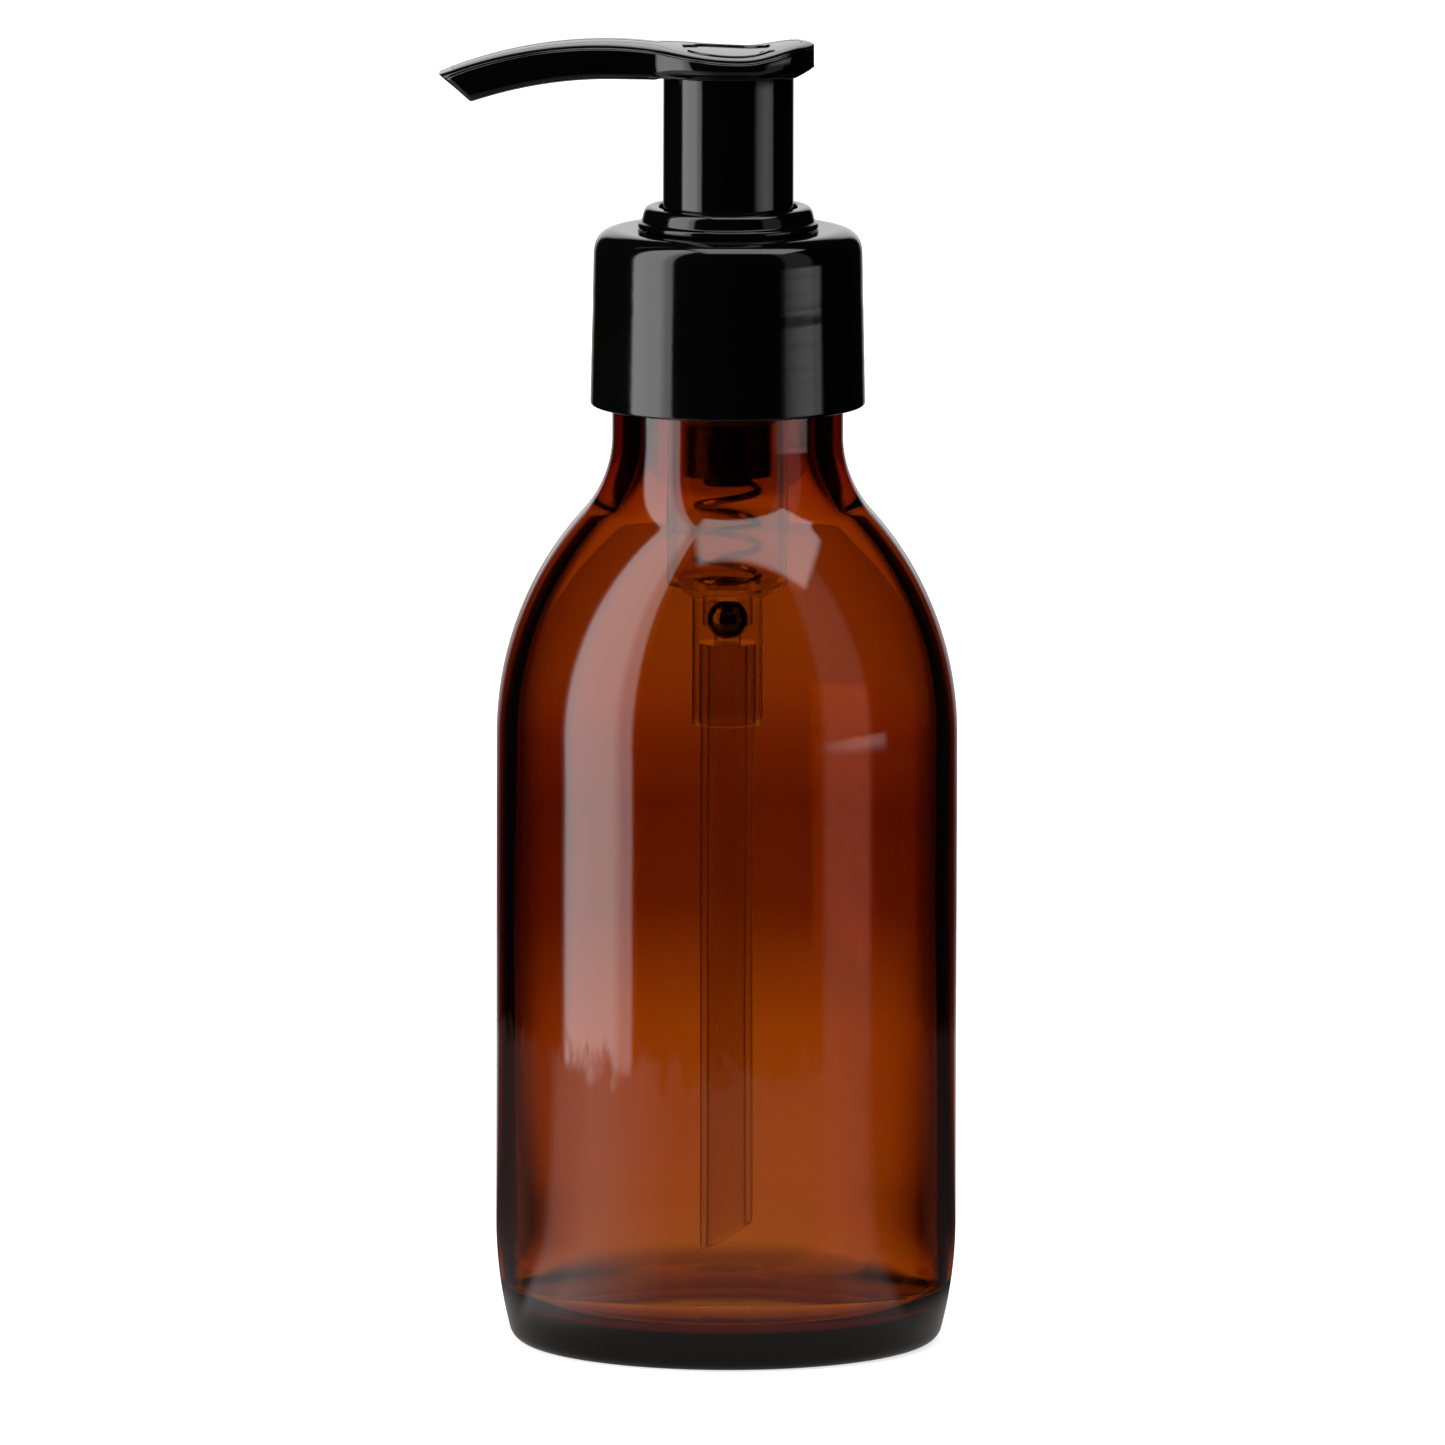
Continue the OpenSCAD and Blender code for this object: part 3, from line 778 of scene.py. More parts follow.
@dataclass
class Head:
    """The arched spout with its thumb pad, inlaid cover and turn marks."""

    crest_x: float = -14.0
    crest_z: float = 149.328
    top_arc: float = 49.5
    low_x: float = -13.0
    low_arc: float = 48.0
    dip_x: float = 1.7
    saddle: float = 1.28
    back_run: float = 7.8
    pad_a: float = 9.77
    pad_b: float = 8.8
    pad_low: float = 7.7
    spout_half: float = 6.0
    spout_taper: float = 0.09
    spout_drop: float = 0.25
    blend: float = 10.0
    cover_a: float = 8.3
    cover_b: float = 6.3
    cover_half: float = 1.45
    shoulder_d: float = 0.45
    tip_end: float = 1.4
    tip_slant: float = 3.3
    slant_end: float = -22.0
    groove: float = 0.05
    recess: float = 0.35
    roll: float = 0.25
    roll_drop: float = 0.3
    crown: float = 3.5
    outlet: tuple[float, float] = (1.5, 0.9)
    outlet_rise: float = 0.28
    mark_r: float = 5.15
    mark_w: float = 0.75
    mark_h: float = 0.17
    mark_sweep: float = 58.0
    mark_point: float = 1.9
    mark_barb: float = 1.05
    boss: tuple[float, float] = (2.77, 4.3)
    boss_foot: float = 137.5
    spigot: tuple[float, float] = (5.77, 6.57)
    spigot_h: float = 2.4

    def __post_init__(self) -> None:
        """Reads the reach and the underside from the frame."""
        self.tip = span("head_body")[0][0]
        self.under = span("head_sleeve")[1][2] + 0.02

    def top(self, x: Array) -> Array:
        """Height of the top along the middle.

        Towards the tip it is an arc; from the crest to the thumb pad it sinks by a half wave of
        cosine and rises by another to the back, where the edge rolls over.
        """
        spout = self.crest_z - self.top_arc
        spout = spout + np.sqrt(self.top_arc**2 - np.minimum(x - self.crest_x, 0) ** 2)
        fall = np.clip((x - self.crest_x) / (self.dip_x - self.crest_x), 0, 1)
        dip = self.crest_z - self.saddle * (1 - np.cos(np.pi * fall)) / 2
        rise = np.clip((x - self.dip_x) / self.back_run, 0, 1)
        rear = self.crest_z - 0.08 - (self.saddle - 0.08) * (1 + np.cos(np.pi * rise)) / 2
        rear = rear - 0.3 * (np.maximum(0, x - 8.5) / (self.pad_a - 8.5)) ** 2
        return np.where(x < self.crest_x, spout, np.where(x < self.dip_x, dip, rear))

    def low(self, x: Array) -> Array:
        """Height of the underside: an arc along the spout, level over the sleeve, raised behind.

        The spout's underside lies a little lower than the sleeve's top.
        """
        sag = self.low_arc - np.sqrt(self.low_arc**2 - np.minimum(x - self.low_x, 0) ** 2)
        drop = self.spout_drop * np.clip((-x - 7.59) / 0.85, 0, 1)
        rear = 0.7 * np.clip((x - 7.59) / (self.pad_a - 7.59), 0, 1)
        return self.under - sag - drop + rear

    def oval(self, x: Array, a: float, b: float, strip: Array | float) -> Array:
        """Half width of an oval that runs out into a strip, joined by a power mean."""
        pad = b * np.sqrt(np.maximum(0, 1 - (x / a) ** 2))
        band = strip * np.where(x < 0, 1, np.maximum(0, 1 - x / 3))
        return (pad**self.blend + band**self.blend) ** (1 / self.blend)

    def strip(self, x: Array) -> Array:
        """Half width of the spout, which narrows evenly towards its tip."""
        return self.spout_half + self.spout_taper * np.minimum(0, x)

    def half(self, x: Array) -> Array:
        """Half width of the head; the end of the spout is rounded."""
        t = np.clip((self.tip + self.tip_end - x) / self.tip_end, 0, 1)
        end = np.where(x > self.tip + self.tip_end, 1, 0.72 + 0.28 * np.sqrt(1 - t * t))
        return np.maximum(0.9, self.oval(x, self.pad_a, self.pad_b, self.strip(x))) * end

    def low_half(self, x: Array) -> Array:
        """Half width at the underside, which narrows to the sleeve below the thumb pad."""
        oval = self.oval(x, self.pad_a - 0.15, self.pad_low, self.strip(x) - 0.1)
        return np.minimum(self.half(x) - 0.1, np.maximum(0.8, oval))

    def edge(self, x: Array) -> Array:
        """Radius of the lower edge: small where the head meets the sleeve."""
        free = np.maximum(np.clip((-x - 7.5) / 1.5, 0, 1), np.clip((x - 7.6) / 1.2, 0, 1))
        return np.minimum(self.half(x) * 0.5, 0.25 + 0.65 * free)

    def flat(self, x: Array) -> Array:
        """Half width of the flat part of the top."""
        wide = self.half(x)
        pad = self.oval(x, self.cover_a + 0.15, self.cover_b + 0.15, self.cover_half + 0.1)
        return np.minimum(np.minimum(pad, wide * 0.62 + 0.6), wide - 0.35)

    def cover(self, x: Array) -> Array:
        """Half width of the inlaid cover, which closes behind in an oval."""
        wide = self.oval(x, self.cover_a, self.cover_b, self.cover_half)
        return np.clip(wide, 0.02, self.flat(x) - 0.04)

    def lean(self, x: Array) -> Array:
        """How far the lower edge leads the upper one, which cuts the spout's end back."""
        t = np.maximum(0, (self.slant_end - x) / (self.slant_end - self.tip))
        return self.tip_slant * t**2

    def rings(self, x: Array) -> Array:
        """Closed sections of the head at the stations x.

        One half of a section goes from the middle of the sunk top, up the groove's wall, over the
        rolled shoulder, round the edge, down the side and round to the middle of the underside;
        the other half is its mirror image.
        """
        wide, flat, cover, top = self.half(x), self.flat(x), self.cover(x), self.top(x)
        nose = np.maximum(0, 1 - (x - self.tip) / 1.3)
        low = self.low(x + self.lean(x)) + 0.7 * (1 - np.sqrt(1 - nose**2))
        inlaid = (x > self.tip + 1.5) & (x < self.cover_a - 0.02)
        sunk = np.where(inlaid, self.recess, 0.0)
        corner, base = self.edge(x), self.low_half(x)
        edge = top - self.shoulder_d
        run = wide - self.roll - flat
        half = [(0 * x, top - sunk), (cover, top - sunk), (cover, top - np.minimum(sunk, 0.04))]
        half.append((cover + 0.03, top))
        for a in np.radians(np.linspace(0, 90, 9)):
            half.append((flat + run * np.sin(a), edge + self.shoulder_d * np.cos(a)))
        for a in np.radians(np.linspace(15, 90, 6)):
            out = wide - self.roll * (1 - np.sin(a))
            half.append((out, edge - self.roll_drop * (1 - np.cos(a))))
        for f in (0.2, 0.4, 0.55, 0.68, 0.8, 0.9):
            down = edge - self.roll_drop + (low + corner - edge + self.roll_drop) * f
            half.append((wide + (base - wide) * f**self.crown, down))
        for a in np.radians(np.linspace(0, 90, 9)):
            half.append((base - corner * (1 - np.cos(a)), low + corner * (1 - np.sin(a))))
        half.append((0 * x, low))
        y, z = mirrored(half)
        share = (top[:, None] - z) / (top - low)[:, None]
        return np.stack([x[:, None] + self.lean(x)[:, None] * share, y, z], axis=-1)

    def stations(self) -> Array:
        """Where sections stand: close together at both ends and at the inlay's edge."""
        end = self.tip + 1.5
        return np.concatenate(
            [
                self.tip + self.tip_end * (1 - np.cos(np.linspace(0, np.pi / 2, 9))),
                [end - 0.005, end + 0.005],
                np.arange(end + 0.5, -11, 0.6),
                np.arange(-11, 8, 0.3),
                8.2 + 1.53 * np.sin(np.linspace(0, np.pi / 2, 12)),
            ]
        )

    def spout_mouth(self, ring: Array) -> Array:
        """Rings that turn the end of the spout into an outlet.

        The end's outline shrinks towards an oval in its own plane, then the oval goes on into the
        spout for 9 mm, following its arch.
        """
        n = ring.shape[0]
        middle = ring.mean(axis=0)
        t = np.arange(n) / n * 2 * np.pi
        across = np.array([0.0, 1.0, 0.0])
        up = (ring[0] - middle) / np.linalg.norm(ring[0] - middle)
        wide, tall = self.outlet
        oval = middle + wide * np.sin(t)[:, None] * across + tall * np.cos(t)[:, None] * up
        away = np.array([1.0, 0.0, self.outlet_rise])
        away = away / np.linalg.norm(away)
        steps = [ring, ring * 0.93 + middle * 0.07 + 0.05 * away]
        steps += [oval + 0.12 * (oval - middle), oval + 0.15 * away]
        steps += [oval + d * away for d in (1.0, 3.0, 6.0, 9.0)]
        return np.stack(steps)[::-1]

    def body(self, maker: Maker) -> None:
        """The spout's shell with its outlet, and below it the boss and the sleeve's spigot."""
        rings = self.rings(self.stations())
        rows = np.vstack([self.spout_mouth(rings[0])[:-1], rings])
        boss = self.stub(*self.boss, self.boss_foot, 0.2)
        spigot = self.stub(*self.spigot, self.under - self.spigot_h, 0.1)
        shells = [grid_shell(rows, ring=False), boss, spigot]
        piece = put("spout_shell", shells, sharp=40)
        maker.fit(piece, "head", "head_body", BLACK_GLOSS)

    def stub(self, bore: float, wide: float, foot: float, edge: float) -> Shell:
        """A short tube below the head, from its inner and outer radius, foot and edge rounding."""
        top = self.under + 0.3
        corners = [(bore, top, 0), (bore, foot, edge), (wide, foot, edge), (wide, top, 0)]
        return lathe(closed(corners, step=top), around=96)

    def plate(self) -> Shell:
        """The inlaid cover: a strip that widens to an oval, its upper edge slightly rolled."""
        start, stop = self.tip + 1.56, self.cover_a - 0.06
        s = np.linspace(0, 1, 120)
        x = start + (stop - start) * np.sin(s * np.pi / 2) ** 1.2
        wide = np.maximum(self.cover(x) - self.groove, 0.12)
        top = self.top(x)
        half = [(0 * x, top), (wide - 0.3, top), (wide - 0.12, top - 0.01), (wide - 0.03, top - 0.05)]
        half += [(wide, top - 0.12), (wide, top - self.recess + 0.01), (0 * x, top - self.recess + 0.01)]
        y, z = mirrored([(np.maximum(p[0], 0), p[1]) for p in half])
        rows = np.stack([np.broadcast_to(x[:, None], y.shape), y, z], axis=-1)
        return grid_shell(rows, ring=False)

    def arrow(self, middle: float) -> Shell:
        """A raised curved arrow on the thumb pad.

        It runs round the axis at a fixed radius; its half width is constant up to the head and
        then falls evenly to the point. Across, its height is that of a low rounded bar.
        """
        shaft = np.linspace(-self.mark_sweep, self.mark_sweep, 60)
        point = self.mark_sweep + np.degrees(self.mark_point / self.mark_r) * np.linspace(0, 1, 14)
        angle = np.radians(middle + np.concatenate([shaft, point]))
        barb = np.linspace(self.mark_barb, 0.03, 14)
        wide = np.concatenate([np.full(60, self.mark_w / 2), barb])
        across = np.array([-1, -0.94, -0.8, -0.5, 0, 0.5, 0.8, 0.94, 1, 1, 0, -1])
        lift = np.array([0, 0.55, 0.85, 0.97, 1, 0.97, 0.85, 0.55, 0, -0.6, -0.6, -0.6])
        r = self.mark_r + wide[:, None] * across[None]
        x, y = r * np.cos(angle)[:, None], r * np.sin(angle)[:, None]
        z = self.top(x) + self.mark_h * lift[None]
        return grid_shell(np.stack([x, y, z], axis=-1), ring=False)

    def inlay(self, maker: Maker) -> None:
        """The cover with its two turn marks."""
        piece = put("spout_inlay", [self.plate(), self.arrow(-90), self.arrow(90)], sharp=35)
        maker.fit(piece, "head", "head_cover", BLACK_GLOSS)


# ---------------------------------------------------------------- the pump inside


@dataclass
class Pump:
    """The parts that show through the glass: housing, tube, ball, spring and plug."""

    barrel: float = 6.9
    bore: float = 6.0
    head_r: float = 9.15
    head_bore: float = 8.42
    flange_z: float = 124.17
    flange_t: float = 1.68
    socket: float = 3.02
    tail: float = 4.0
    cage: float = 2.65
    seat: float = 1.4
    seat_z: float = 81.0
    ledge_z: float = 86.2
    ledge_r: float = 4.2
    wire: float = 0.4
    coil_r: float = 3.5
    coils: float = 6.5
    stroke: float = 12.0
    nib_z: tuple[float, float] = (85.05, 85.75)
    cone: tuple[float, float] = (85.4, 86.9)
    step_z: tuple[float, float] = (110.6, 112.2)
    guide_z: float = 113.4
    stub_r: float = 2.75
    cup_bore: float = 4.3
    cup: tuple[float, float] = (99.6, 105.8)
    cup_t: float = 1.0
    waist: tuple[float, float] = (2.2, 106.95)
    shank_r: float = 1.58
    tube_bore: float = 2.1
    tube_slant: float = 29.0

    def housing(self, maker: Maker) -> None:
        """One wall from the collar's hole down to the tube socket, with four nibs over the ball."""
        low, high = span("pump_housing")
        flange_r, top, foot = high[0], high[2], low[2]
        profile = closed(
            [
                (self.seat, self.seat_z - 0.4, 0),
                (self.seat, self.seat_z - 0.8, 0.05),
                (self.socket, self.seat_z - 0.8, 0.1),
                (self.socket, foot, 0.15),
                (self.tail, foot, 0.3),
                (self.tail, self.cone[0], 0.5),
                (self.barrel, self.cone[1], 0.5),
                (self.barrel, self.step_z[0], 0.5),
                (self.head_r, self.step_z[1], 0.6),
                (self.head_r, self.flange_z, 0.2),
                (flange_r, self.flange_z, 0.3),
                (flange_r, self.flange_z + self.flange_t, 0.3),
                (self.head_r, self.flange_z + self.flange_t, 0.2),
                (self.head_r, top, 0.15),
                (self.head_bore, top, 0.15),
                (self.head_bore, self.guide_z, 0.3),
                (self.bore, self.guide_z, 0.1),
                (self.bore, 88.0, 0.4),
                (self.ledge_r, self.ledge_z, 0.1),
                (self.cage, self.ledge_z, 0.2),
                (self.cage, self.seat_z + self.cage - self.seat, 0.1),
                (self.seat, self.seat_z, 0.05),
            ],
            step=1.6,
        )
        shells = [lathe(profile, around=160)] + [self.nib(a) for a in (45, 135, 225, 315)]
        piece = put("pump_barrel", shells, sharp=45)
        maker.fit(piece, "pump_body", "pump_housing", NATURAL_PP)

    def nib(self, angle: float) -> Shell:
        """A small wedge on the cage's wall that keeps the ball in."""
        across = np.array([-0.5, 0.5, 0.5, -0.5])
        up = np.repeat(self.nib_z, 2)
        reach = np.array([2.72, 2.1, 1.92])
        width = np.array([1.0, 0.95, 0.75])
        middle = float(up.mean())
        x = np.broadcast_to(reach[:, None], (3, 4))
        y = across[None] * width[:, None]
        z = middle + (up[None] - middle) * width[:, None]
        a = math.radians(angle)
        return grid_shell(
            np.stack([x * math.cos(a) - y * math.sin(a), x * math.sin(a) + y * math.cos(a), z], -1),
            ring=False,
        )

    def tube(self, maker: Maker) -> None:
        """The dip tube, whose lower end is cut on a slant: z rises with x along the cut."""
        low, high = span("dip_tube")
        outer, top, foot = high[0], high[2], low[2]
        bore = self.tube_bore
        ring = closed(
            [(bore, 0.5, 0), (bore, 0, 0.08), (outer, 0, 0.08), (outer, 1, 0.08), (bore, 1, 0.08)],
            step=0.2,
            steps=3,
        )
        t = np.arange(128) / 128 * 2 * np.pi
        x = ring[:, :1] * np.cos(t)[None]
        y = ring[:, :1] * np.sin(t)[None]
        start = foot + (x + outer) * math.tan(math.radians(self.tube_slant))
        z = start + (top - start) * ring[:, 1:]
        piece = put("dip_tube_pe", [grid_shell(np.stack([x, y, z], -1), ring=True)], sharp=45)
        maker.fit(piece, "pump_body", "dip_tube", TUBE_PE)

    def ball(self, maker: Maker) -> None:
        """The ball, with the narrow ground band that a turned ball keeps round its middle."""
        low, high = span("check_ball")
        middle, radius = (low[2] + high[2]) / 2, (high[2] - low[2]) / 2
        a = np.radians(np.linspace(-90, 90, 65))
        profile = np.column_stack([radius * np.cos(a), middle + radius * np.sin(a)])
        profile[0, 0] = profile[-1, 0] = 0

        def band(r: Array, h: Array, t: Array) -> Array:
            """Takes 0.01 mm off within a quarter of a millimetre of the middle."""
            return -0.01 * np.exp(-(((h - middle) / 0.25) ** 2))

        piece = put("valve_ball", [lathe(profile, band, around=96)])
        maker.fit(piece, "ball", "check_ball", POLISHED_BALL)

    def spring(self, maker: Maker) -> None:
        """A compression spring with closed ends.

        The wire's middle goes round at a fixed radius; it climbs one wire's width over the first
        0.9 turn and the last 0.9 turn, and evenly between them.
        """
        low, high = span("return_spring")
        n = 420
        u = np.linspace(0, 1, n)
        dead, lay = 0.9 / self.coils, 2 * self.wire + 0.04
        start, stop = low[2] + self.wire, high[2] - self.wire
        climb = (stop - start - 2 * lay) * np.clip((u - dead) / (1 - 2 * dead), 0, 1)
        h = start + lay * np.minimum(u, dead) / dead + climb
        h = h + lay * np.maximum(0, u - 1 + dead) / dead
        a = 2 * np.pi * self.coils * u
        b = np.arange(14) / 14 * 2 * np.pi
        r = self.coil_r + self.wire * np.cos(b)[None]
        rows = np.stack(
            [r * np.cos(a)[:, None], r * np.sin(a)[:, None], h[:, None] + self.wire * np.sin(b)[None]],
            axis=-1,
        )
        piece = put("return_coil", [grid_shell(rows, ring=False)])
        maker.fit(piece, "pump_body", "return_spring", SPRING_WIRE)
        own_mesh(piece)

    def plug(self, maker: Maker) -> None:
        """The cup over the spring's upper end, its guide stub and its shank."""
        low, high = span("valve_plug")
        stub, top, wide = low[2], high[2], high[0]
        (foot, roof), (waist, waist_top) = self.cup, self.waist
        profile = rounded(
            [
                (0, stub, 0),
                (self.stub_r, stub, 0.4),
                (self.stub_r, roof - self.cup_t, 0.2),
                (self.cup_bore, roof - self.cup_t, 0.3),
                (self.cup_bore, foot, 0.2),
                (wide, foot, 0.25),
                (wide, roof, 0.4),
                (waist, roof, 0.15),
                (waist, waist_top, 0.1),
                (self.shank_r, waist_top, 0.05),
                (self.shank_r, top, 0.3),
                (0, top, 0),
            ]
        )
        piece = put("plug_cup", [lathe(dense(profile, 1.0), around=128)], sharp=45)
        maker.fit(piece, "plunger", "valve_plug", BLACK_INNER)


# ---------------------------------------------------------------- the studio


class View(Enum):
    """How a softbox's two ranges are measured."""

    ROUND = "azimuth and height, degrees"
    ABOVE = "across and back, per unit of height"


@dataclass(frozen=True)
class Softbox:
    """A soft light far away, as a patch of the sky.

    Round the horizon its ranges are azimuth, 0 towards the camera and positive to its right, and
    height. Overhead they are how far right and how far back it reaches on a ceiling one unit high.
    """

    across: tuple[float, float]
    along: tuple[float, float]
    strength: float
    soft: float = 4.0
    soft_along: float = 8.0
    view: View = View.ROUND


@dataclass
class Table:
    """The pale floor, 12 m across.

    The camera sees a plain pale sheet. Glass and plastic see a table top whose light and shade are
    painted into its glow: its painted light changes with the distance behind the bottle, with a
    painted shadow under the foot, and, in front, from left to right, painted brighter close to the
    bottle; it is painted dark to the sides and ends at a ragged painted shadow edge. A painted glow
    stands for a bright card lying on it far to the right. Distances are in metres from the bottle's
    axis, and directions are parts of a unit step, right or back.
    """

    half: float = 6.0
    # Painted light of the table straight behind, by distance: dark under the foot as a painted shadow,
    # pale beyond, with a darker reddish band further back.
    behind: tuple[tuple[float, str], ...] = (
        (0.02, "7C7672"), (0.035, "989390"), (0.06, "CBCBCB"), (0.12, "E8E8E8"),
        (0.23, "E0D6D6"), (0.33, "9C7272"), (0.42, "906060"), (0.52, "BF9A9A"), (0.64, "C4B4B4"),
    )
    # Painted light of the table in front, from left to right: bright on the left, grey in the middle,
    # dark at the far right.
    front: tuple[tuple[float, str], ...] = (
        (0.0, "CBCBCB"), (0.04, "FFFFFF"), (0.15, "C4C4C4"), (0.3, "7C7C7C"), (0.84, "7C7C7C"),
        (0.88, "959595"), (0.965, "959595"), (0.985, "161616"), (1.0, "161616"),
    )
    straight_back: tuple[float, float] = (0.89, 0.992)
    sideways: tuple[float, float] = (-0.06, 0.12)
    side_light: float = 0.1
    # Within this distance the table behind is used all round, so its painted shadow lies under the whole
    # base.
    foot: tuple[float, float] = (0.045, 0.028)
    # Where the painted glow of the card far to the right lies, and how strong it is.
    far_right: tuple[float, float] = (0.68, 0.95)
    far_side: tuple[float, float] = (-0.13, -0.03)
    far_reach: tuple[float, float, float, float] = (0.5, 1.0, 1.2, 2.6)
    far_light: float = 1.2
    close: tuple[float, float] = (0.02, 0.12)
    close_light: float = 1.5
    shadow_edge: tuple[float, float] = (0.235, 0.262)
    ragged: float = 0.09
    ragged_scale: float = 28.0
    pale: str = "D9D9D9"
    lift: float = 0.75

    def sheet(self) -> bpy.types.Object:
        """One square face at z = 0."""
        mesh = bpy.data.meshes.new("floor")
        n = self.half
        mesh.from_pydata([(-n, -n, 0), (n, -n, 0), (n, n, 0), (-n, n, 0)], [], [(0, 1, 2, 3)])
        floor = bpy.data.objects.new("floor", mesh)
        bpy.context.scene.collection.objects.link(floor)
        return floor

    def light(self, tree: Tree) -> tuple[Socket, ...]:
        """The table's painted light, how far it has given way to nothing, and the painted glow of a card
        lying far right.

        Args:
            tree: the floor's nodes.

        Returns:
            Sockets with the table's strength, its clear share and the card's strength.
        """
        coords = add(tree, "TexCoord").outputs["Object"]
        place = add(tree, "SeparateXYZ", {0: coords})
        reach = add(tree, "VectorMath", {0: coords}, operation="LENGTH").outputs["Value"]
        across = math_node(tree, "DIVIDE", place.outputs["X"], reach)
        back = math_node(tree, "DIVIDE", place.outputs["Y"], reach)
        turn = math_node(tree, "ADD", math_node(tree, "MULTIPLY", across, 0.5), 0.5)
        rear = step(tree, back, *self.straight_back)
        rear = math_node(tree, "MAXIMUM", rear, step(tree, reach, *self.foot))
        aside = step(tree, back, *self.sideways, 1.0, self.side_light)
        near = step(tree, reach, *self.close, self.close_light, 1.0)
        fore = math_node(tree, "MULTIPLY", aside, near)
        fore = math_node(tree, "MULTIPLY", fore, ramp(tree, turn, self.front))
        sides = {0: rear, 6: fore, 7: ramp(tree, reach, self.behind)}
        level = add(tree, "Mix", sides, data_type="RGBA").outputs[2]
        wander = math_node(tree, "SUBTRACT", noise(tree, coords, self.ragged_scale, 4.0), 0.5)
        wander = math_node(tree, "MULTIPLY", wander, self.ragged)
        edge = step(tree, math_node(tree, "ADD", reach, wander), *self.shadow_edge)
        gone = math_node(tree, "MULTIPLY", edge, math_node(tree, "SUBTRACT", 1.0, rear))
        card = step(tree, across, *self.far_right)
        near_edge, far_edge = self.far_reach[:2], self.far_reach[2:]
        for part in (
            step(tree, back, *self.far_side, 1.0, 0.0),
            step(tree, reach, *near_edge),
            step(tree, reach, *far_edge, 1.0, 0.0),
        ):
            card = math_node(tree, "MULTIPLY", card, part)
        return level, gone, math_node(tree, "MULTIPLY", card, self.far_light)

    def build(self) -> None:
        """Makes the floor and dresses it."""
        floor = self.sheet()
        material, tree = blank_material("pale_table")
        level, gone, card = self.light(tree)
        # For all but camera rays the table glows with its painted light and shade.
        painted_table_light = add(tree, "Emission", {"Color": level})
        clear = add(tree, "BsdfTransparent")
        cut = add(tree, "MixShader", {0: gone, 1: painted_table_light.outputs[0], 2: clear.outputs[0]})
        # The painted glow of the card far to the right, added on top.
        painted_card_glow = add(tree, "Emission", {"Strength": card})
        cut = add(tree, "AddShader", {0: cut.outputs[0], 1: painted_card_glow.outputs[0]})
        diffuse = add(tree, "BsdfDiffuse", {"Color": linear(self.pale)})
        lift = add(tree, "Emission", {"Strength": self.lift})
        pale = add(tree, "AddShader", {0: diffuse.outputs[0], 1: lift.outputs[0]})
        path = add(tree, "LightPath")
        mix = add(
            tree,
            "MixShader",
            {0: path.outputs["Is Camera Ray"], 1: cut.outputs[0], 2: pale.outputs[0]},
        )
        add(tree, "OutputMaterial", {"Surface": mix.outputs[0]})
        floor.data.materials.append(material)


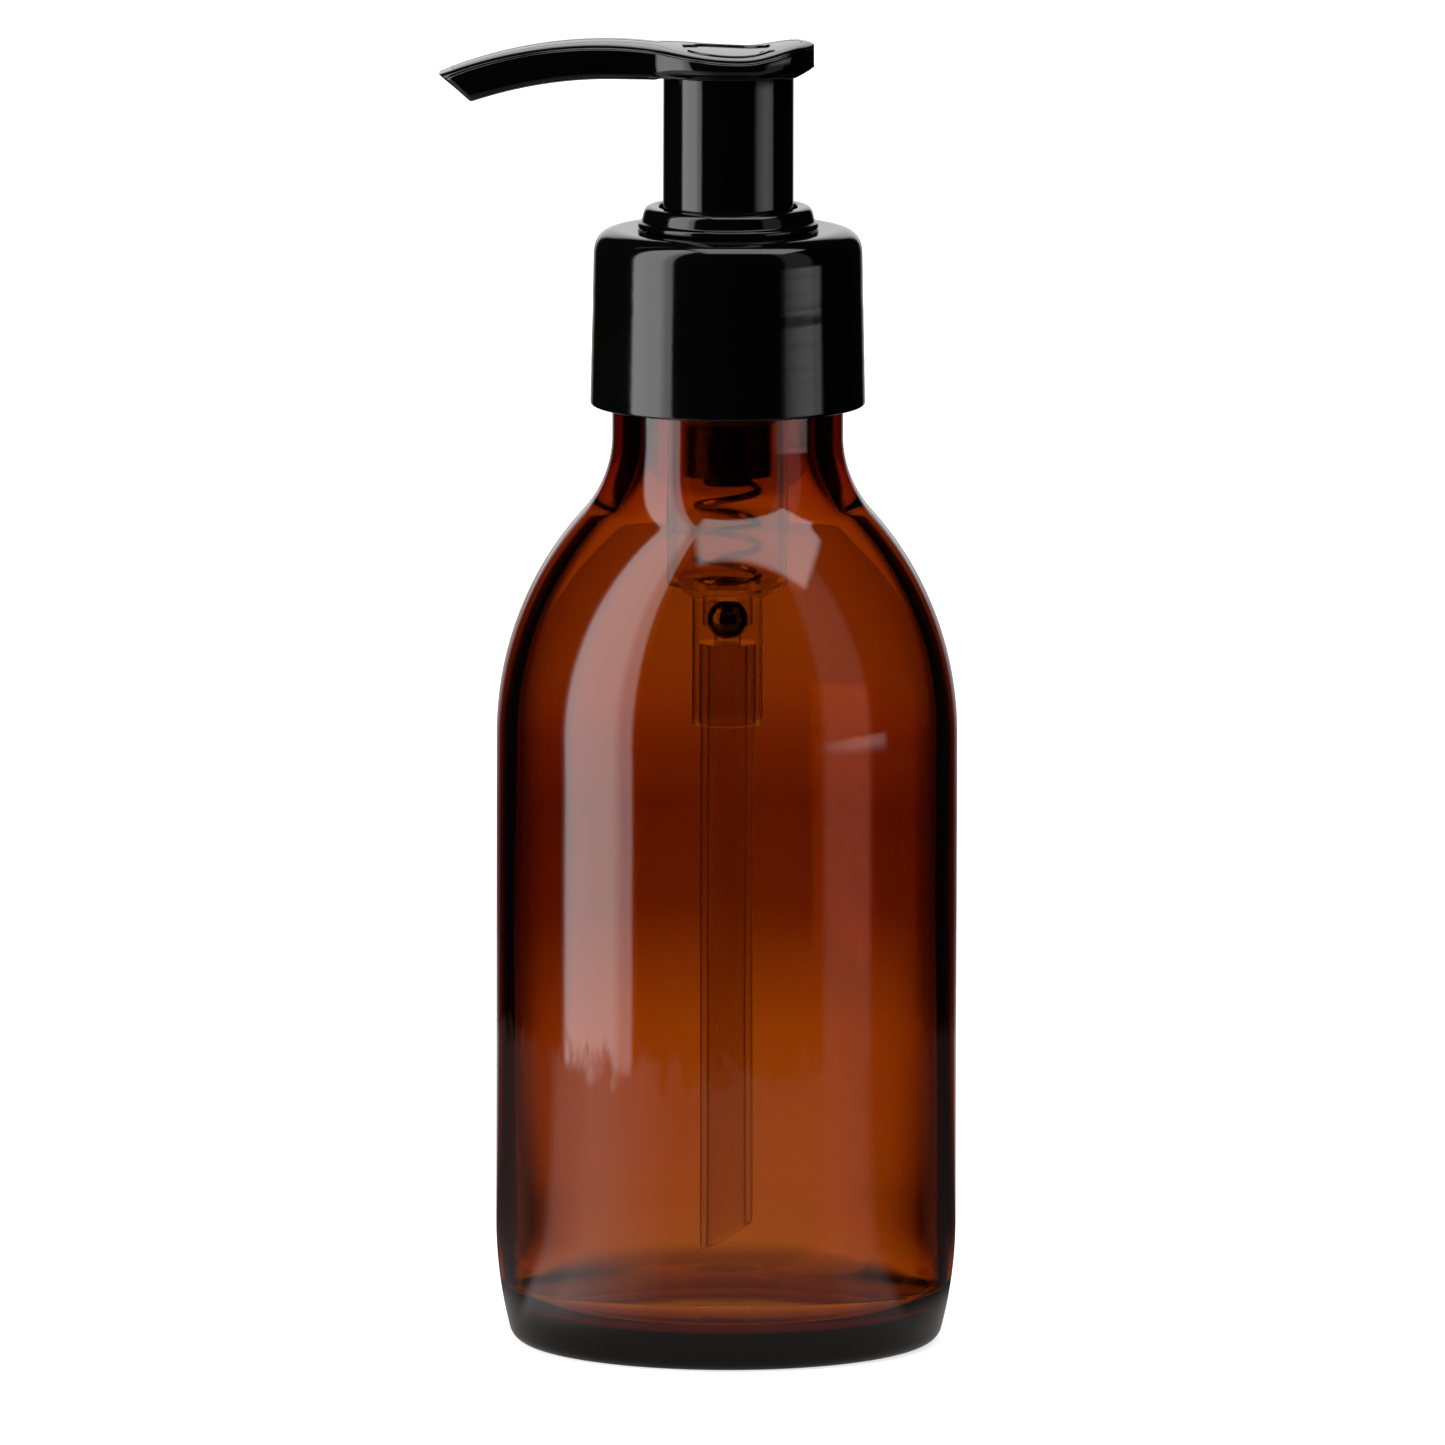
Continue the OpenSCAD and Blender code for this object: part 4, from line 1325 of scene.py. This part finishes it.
@dataclass
class Studio:
    """The lights, the camera and the floor."""

    boxes: tuple[Softbox, ...] = (
        Softbox((-89, -57), (-60, 70), 1.6, 8),
        Softbox((-89, -48.5), (-60, 70), 2.4, 3),
        Softbox((50, 77), (-60, 70), 0.3, 5),
        Softbox((-0.28, 0.86), (-0.48, 0.16), 3.3, 0.1, 0.08, View.ABOVE),
        Softbox((162, 198), (-5, 26), 1.0, 10, 10),
    )
    ambient: float = 0.004
    distance: float = 3741.0
    rise: float = 613.0
    aim: tuple[float, float, float] = (-0.52, 0.0, 71.03)
    view_width: float = 164.69113
    roll: float = 0.13

    def camera(self) -> None:
        """A long lens at the viewing angle: its focal length gives the wanted width of view."""
        aim = Vector(self.aim) * MM
        place = aim + Vector((0, -self.distance, self.rise - self.aim[2])) * MM
        data = bpy.data.cameras.new("camera")
        data.sensor_width = 36.0
        reach = (aim - place).length / MM
        data.lens = reach / self.view_width * data.sensor_width
        data.clip_start, data.clip_end = 0.1, 100
        camera = bpy.data.objects.new("camera", data)
        turn = (aim - place).to_track_quat("-Z", "Y").to_matrix().to_4x4()
        camera.matrix_world = Matrix.Translation(place) @ turn @ Matrix.Rotation(
            math.radians(self.roll), 4, "Z"
        )
        bpy.context.scene.collection.objects.link(camera)
        bpy.context.scene.camera = camera

    def patch(self, tree: Tree, axes: tuple, box: Softbox) -> Socket:
        """Strength of one softbox in a direction: smooth steps at its four sides, multiplied.

        Args:
            tree: the world's nodes.
            axes: the two sockets that its ranges are measured along.
            box: the softbox.

        Returns:
            The socket that carries its light.
        """
        total = None
        for value, (low, high), soft in zip(axes, (box.across, box.along), (box.soft, box.soft_along)):
            for edge, sign in ((low, 1), (high, -1)):
                side = step(tree, value, edge - sign * soft / 2, edge + sign * soft / 2)
                total = side if total is None else math_node(tree, "MULTIPLY", total, side)
        return math_node(tree, "MULTIPLY", total, box.strength)

    def sky(self) -> None:
        """The world: plain pale to the camera, and the softboxes to everything else."""
        world = bpy.data.worlds.new("studio")
        bpy.context.scene.world = world
        world.use_nodes = True
        tree = world.node_tree
        tree.nodes.clear()
        coords = add(tree, "TexCoord")
        axis = add(tree, "SeparateXYZ", {0: coords.outputs["Generated"]})
        right, back, up = axis.outputs["X"], axis.outputs["Y"], axis.outputs["Z"]
        toward = math_node(tree, "MULTIPLY", back, -1.0)
        azimuth = math_node(tree, "DEGREES", math_node(tree, "ARCTAN2", right, toward), 0.0)
        wrapped = math_node(tree, "WRAP", azimuth, 360.0)
        height = math_node(tree, "DEGREES", math_node(tree, "ARCSINE", up, 0.0), 0.0)
        rise = math_node(tree, "MAXIMUM", up, 0.001)
        ceiling = (math_node(tree, "DIVIDE", right, rise), math_node(tree, "DIVIDE", back, rise))
        total = None
        for box in self.boxes:
            around = wrapped if box.across[1] > 180 else azimuth
            axes = ceiling if box.view is View.ABOVE else (around, height)
            light = self.patch(tree, axes, box)
            total = light if total is None else math_node(tree, "ADD", total, light)
        lit = math_node(tree, "ADD", total, self.ambient)
        glow = add(tree, "Background", {"Color": (1, 1, 1, 1), "Strength": lit})
        plain = add(tree, "Background", {"Color": (1, 1, 1, 1), "Strength": 1.0})
        path = add(tree, "LightPath")
        mix = add(
            tree,
            "MixShader",
            {0: path.outputs["Is Camera Ray"], 1: glow.outputs[0], 2: plain.outputs[0]},
        )
        add(tree, "OutputWorld", {"Surface": mix.outputs[0]})

    def build(self) -> None:
        """Sets the camera, sky, floor and plain colour handling."""
        self.camera()
        self.sky()
        Table().build()
        scene = bpy.context.scene
        scene.view_settings.view_transform = "Standard"
        scene.cycles.max_bounces = 24
        scene.cycles.transmission_bounces = 24


def main() -> None:
    """Builds the studio and every piece."""
    logging.basicConfig(level=logging.INFO, format="%(name)s %(message)s")
    maker = Maker()
    Studio().build()
    Bottle().build(maker)
    closure = Closure()
    closure.collar(maker)
    closure.ring(maker)
    closure.sleeve(maker)
    head = Head()
    head.body(maker)
    head.inlay(maker)
    pump = Pump()
    pump.housing(maker)
    pump.tube(maker)
    pump.ball(maker)
    pump.spring(maker)
    pump.plug(maker)
    maker.dress_node("stem", BLACK_INNER)
    maker.dress_node("piston", PISTON_PE)
    maker.dress_node("neck_gasket", GASKET_FOAM)


if __name__ == "__main__":
    main()
